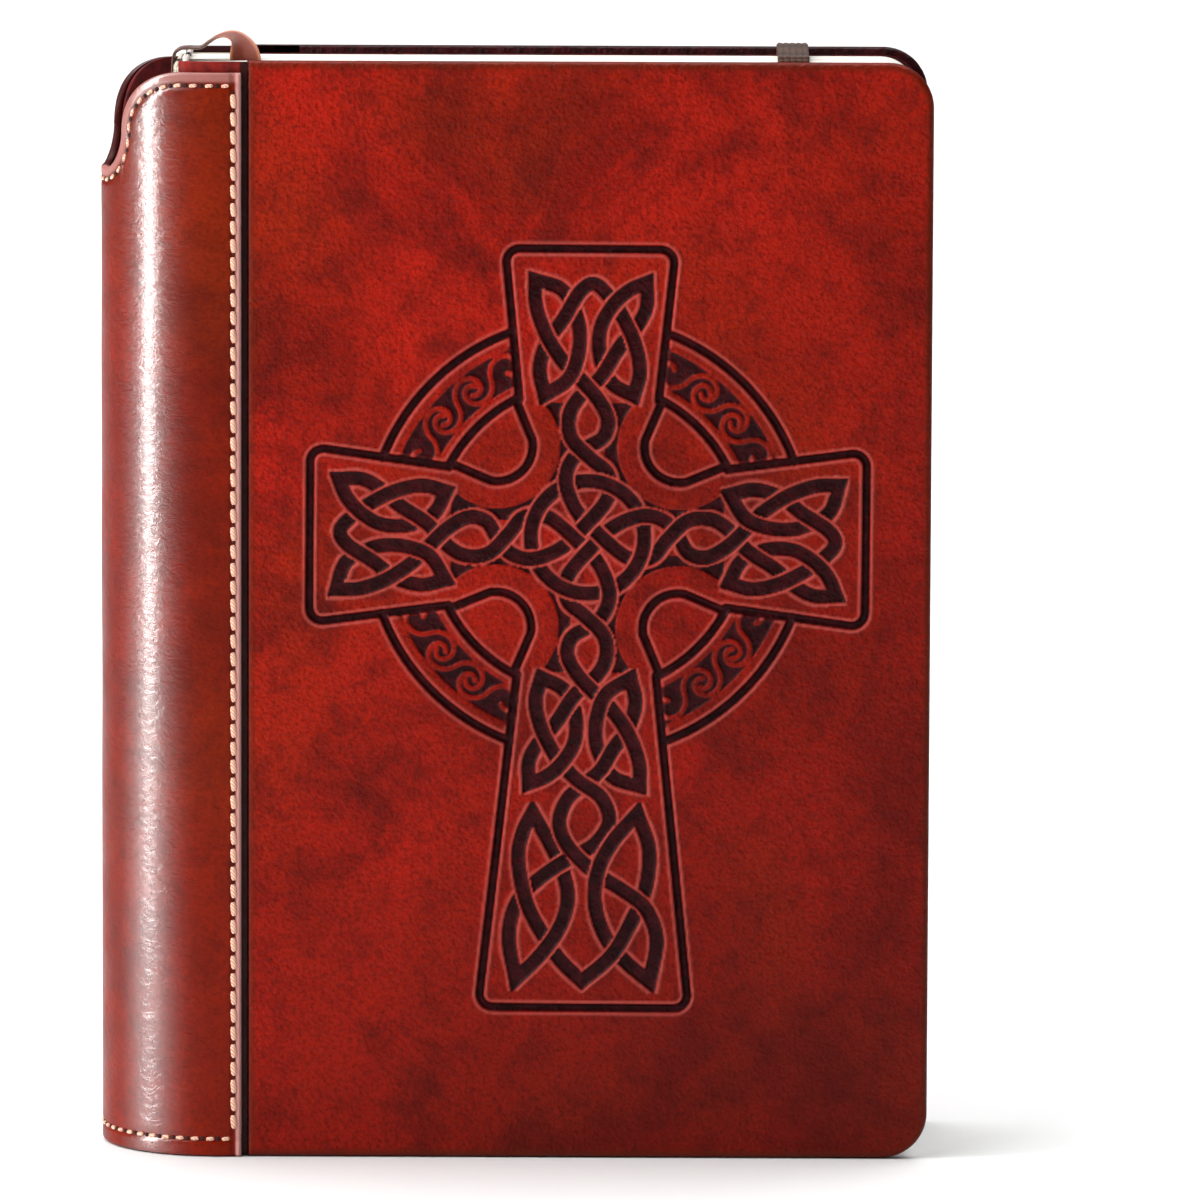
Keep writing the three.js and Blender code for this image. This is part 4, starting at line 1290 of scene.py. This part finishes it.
def build_camera():
    """A long lens in front of the front cover and above its head, tipped down to the cover's middle."""
    data = bpy.data.cameras.new("camera")
    data.sensor_width = CAMERA_SENSOR
    data.lens = CAMERA_LENS
    data.clip_end = 50.0
    camera = bpy.data.objects.new("camera", data)
    bpy.context.scene.collection.objects.link(camera)
    place = Vector((AIM_X, -COVER_FACE * MM - CAMERA_DISTANCE, CAMERA_HEIGHT))
    tip = math.atan2(CAMERA_HEIGHT - AIM_HEIGHT, CAMERA_DISTANCE)
    turn = Matrix.Rotation(math.pi / 2 - tip, 4, "X") @ Matrix.Rotation(CAMERA_ROLL, 4, "Z")
    camera.matrix_world = Matrix.Translation(place) @ turn
    bpy.context.scene.camera = camera


def build_floor():
    """A wide pale floor."""
    bpy.ops.mesh.primitive_circle_add(vertices=96, radius=14.0, fill_type="NGON", location=(0, 0, -0.0002))
    floor = bpy.context.object
    floor.name = "floor"
    s = Shader("pale_floor", Specular_IOR_Level=0.2)
    colour = s.mix(s.ramp(s.noise(6, 2.0), 0.3, 0.7), (0.80, 0.80, 0.80), (0.84, 0.84, 0.84))
    floor.data.materials.append(s.finish(colour, s.ramp(s.noise(9), 0.3, 0.7, 0.80, 0.86)))


def area_light(name, azimuth, elevation, distance, width, height, power, tint=(1, 1, 1), behind=0.0,
               spread=180):
    """A softbox that faces the book, or a place behind it; azimuth 0 is the front, plus to the right."""
    data = bpy.data.lights.new(name, "AREA")
    data.shape = "RECTANGLE"
    data.size = width
    data.size_y = height
    data.energy = power
    data.color = tint
    data.spread = math.radians(spread)
    light = bpy.data.objects.new(name, data)
    a = math.radians(azimuth)
    e = math.radians(elevation)
    back = Vector((math.sin(a) * math.cos(e), -math.cos(a) * math.cos(e), math.sin(e)))
    light.location = Vector((0, behind, 0.11)) + back * distance
    light.rotation_mode = "QUATERNION"
    light.rotation_quaternion = back.to_track_quat("Z", "Y")
    bpy.context.scene.collection.objects.link(light)


def build_lights():
    """A tall softbox on the left that the spine mirrors, a broad one above, and weak fills."""
    area_light("left_strip", -71, 10, 1.2, 0.13, 1.6, 17.0, (1.0, 0.975, 0.955))
    area_light("overhead", -46, 42, 1.15, 0.7, 0.7, 7.5)
    area_light("right_fill", 66, 28, 2.0, 1.0, 1.2, 0.3)
    area_light("floor_wash", 180, 84, 3.2, 5.5, 4.6, 135.0, behind=1.7, spread=90)
    world = bpy.data.worlds.new("studio")
    world.use_nodes = True
    world.node_tree.nodes["Background"].inputs[0].default_value = (0.95, 0.97, 1.0, 1.0)
    world.node_tree.nodes["Background"].inputs[1].default_value = 0.08
    bpy.context.scene.world = world
    bpy.context.scene.view_settings.view_transform = "Standard"


# ---- making it all ----

build_camera()
build_floor()
build_lights()

panel_material = make_panel_material()
spine_material = make_spine_material()
lining_material = make_lining_material()
hinge_material = make_hinge_material()
paper_material = make_paper_material()
thread_material = make_thread_material()
hole_shade_material = make_hole_shade_material()
ribbon_material = make_ribbon_material()
elastic_material = make_elastic_material()
headband_material = make_headband_material()
cloth_material = make_cloth_material()

build_spine()
build_covers()
build_leaves()
build_band("headband", "headband_silk_head")
build_band("tailband", "headband_silk_tail")
build_ribbon()
build_elastic()
dress_cad_nodes()
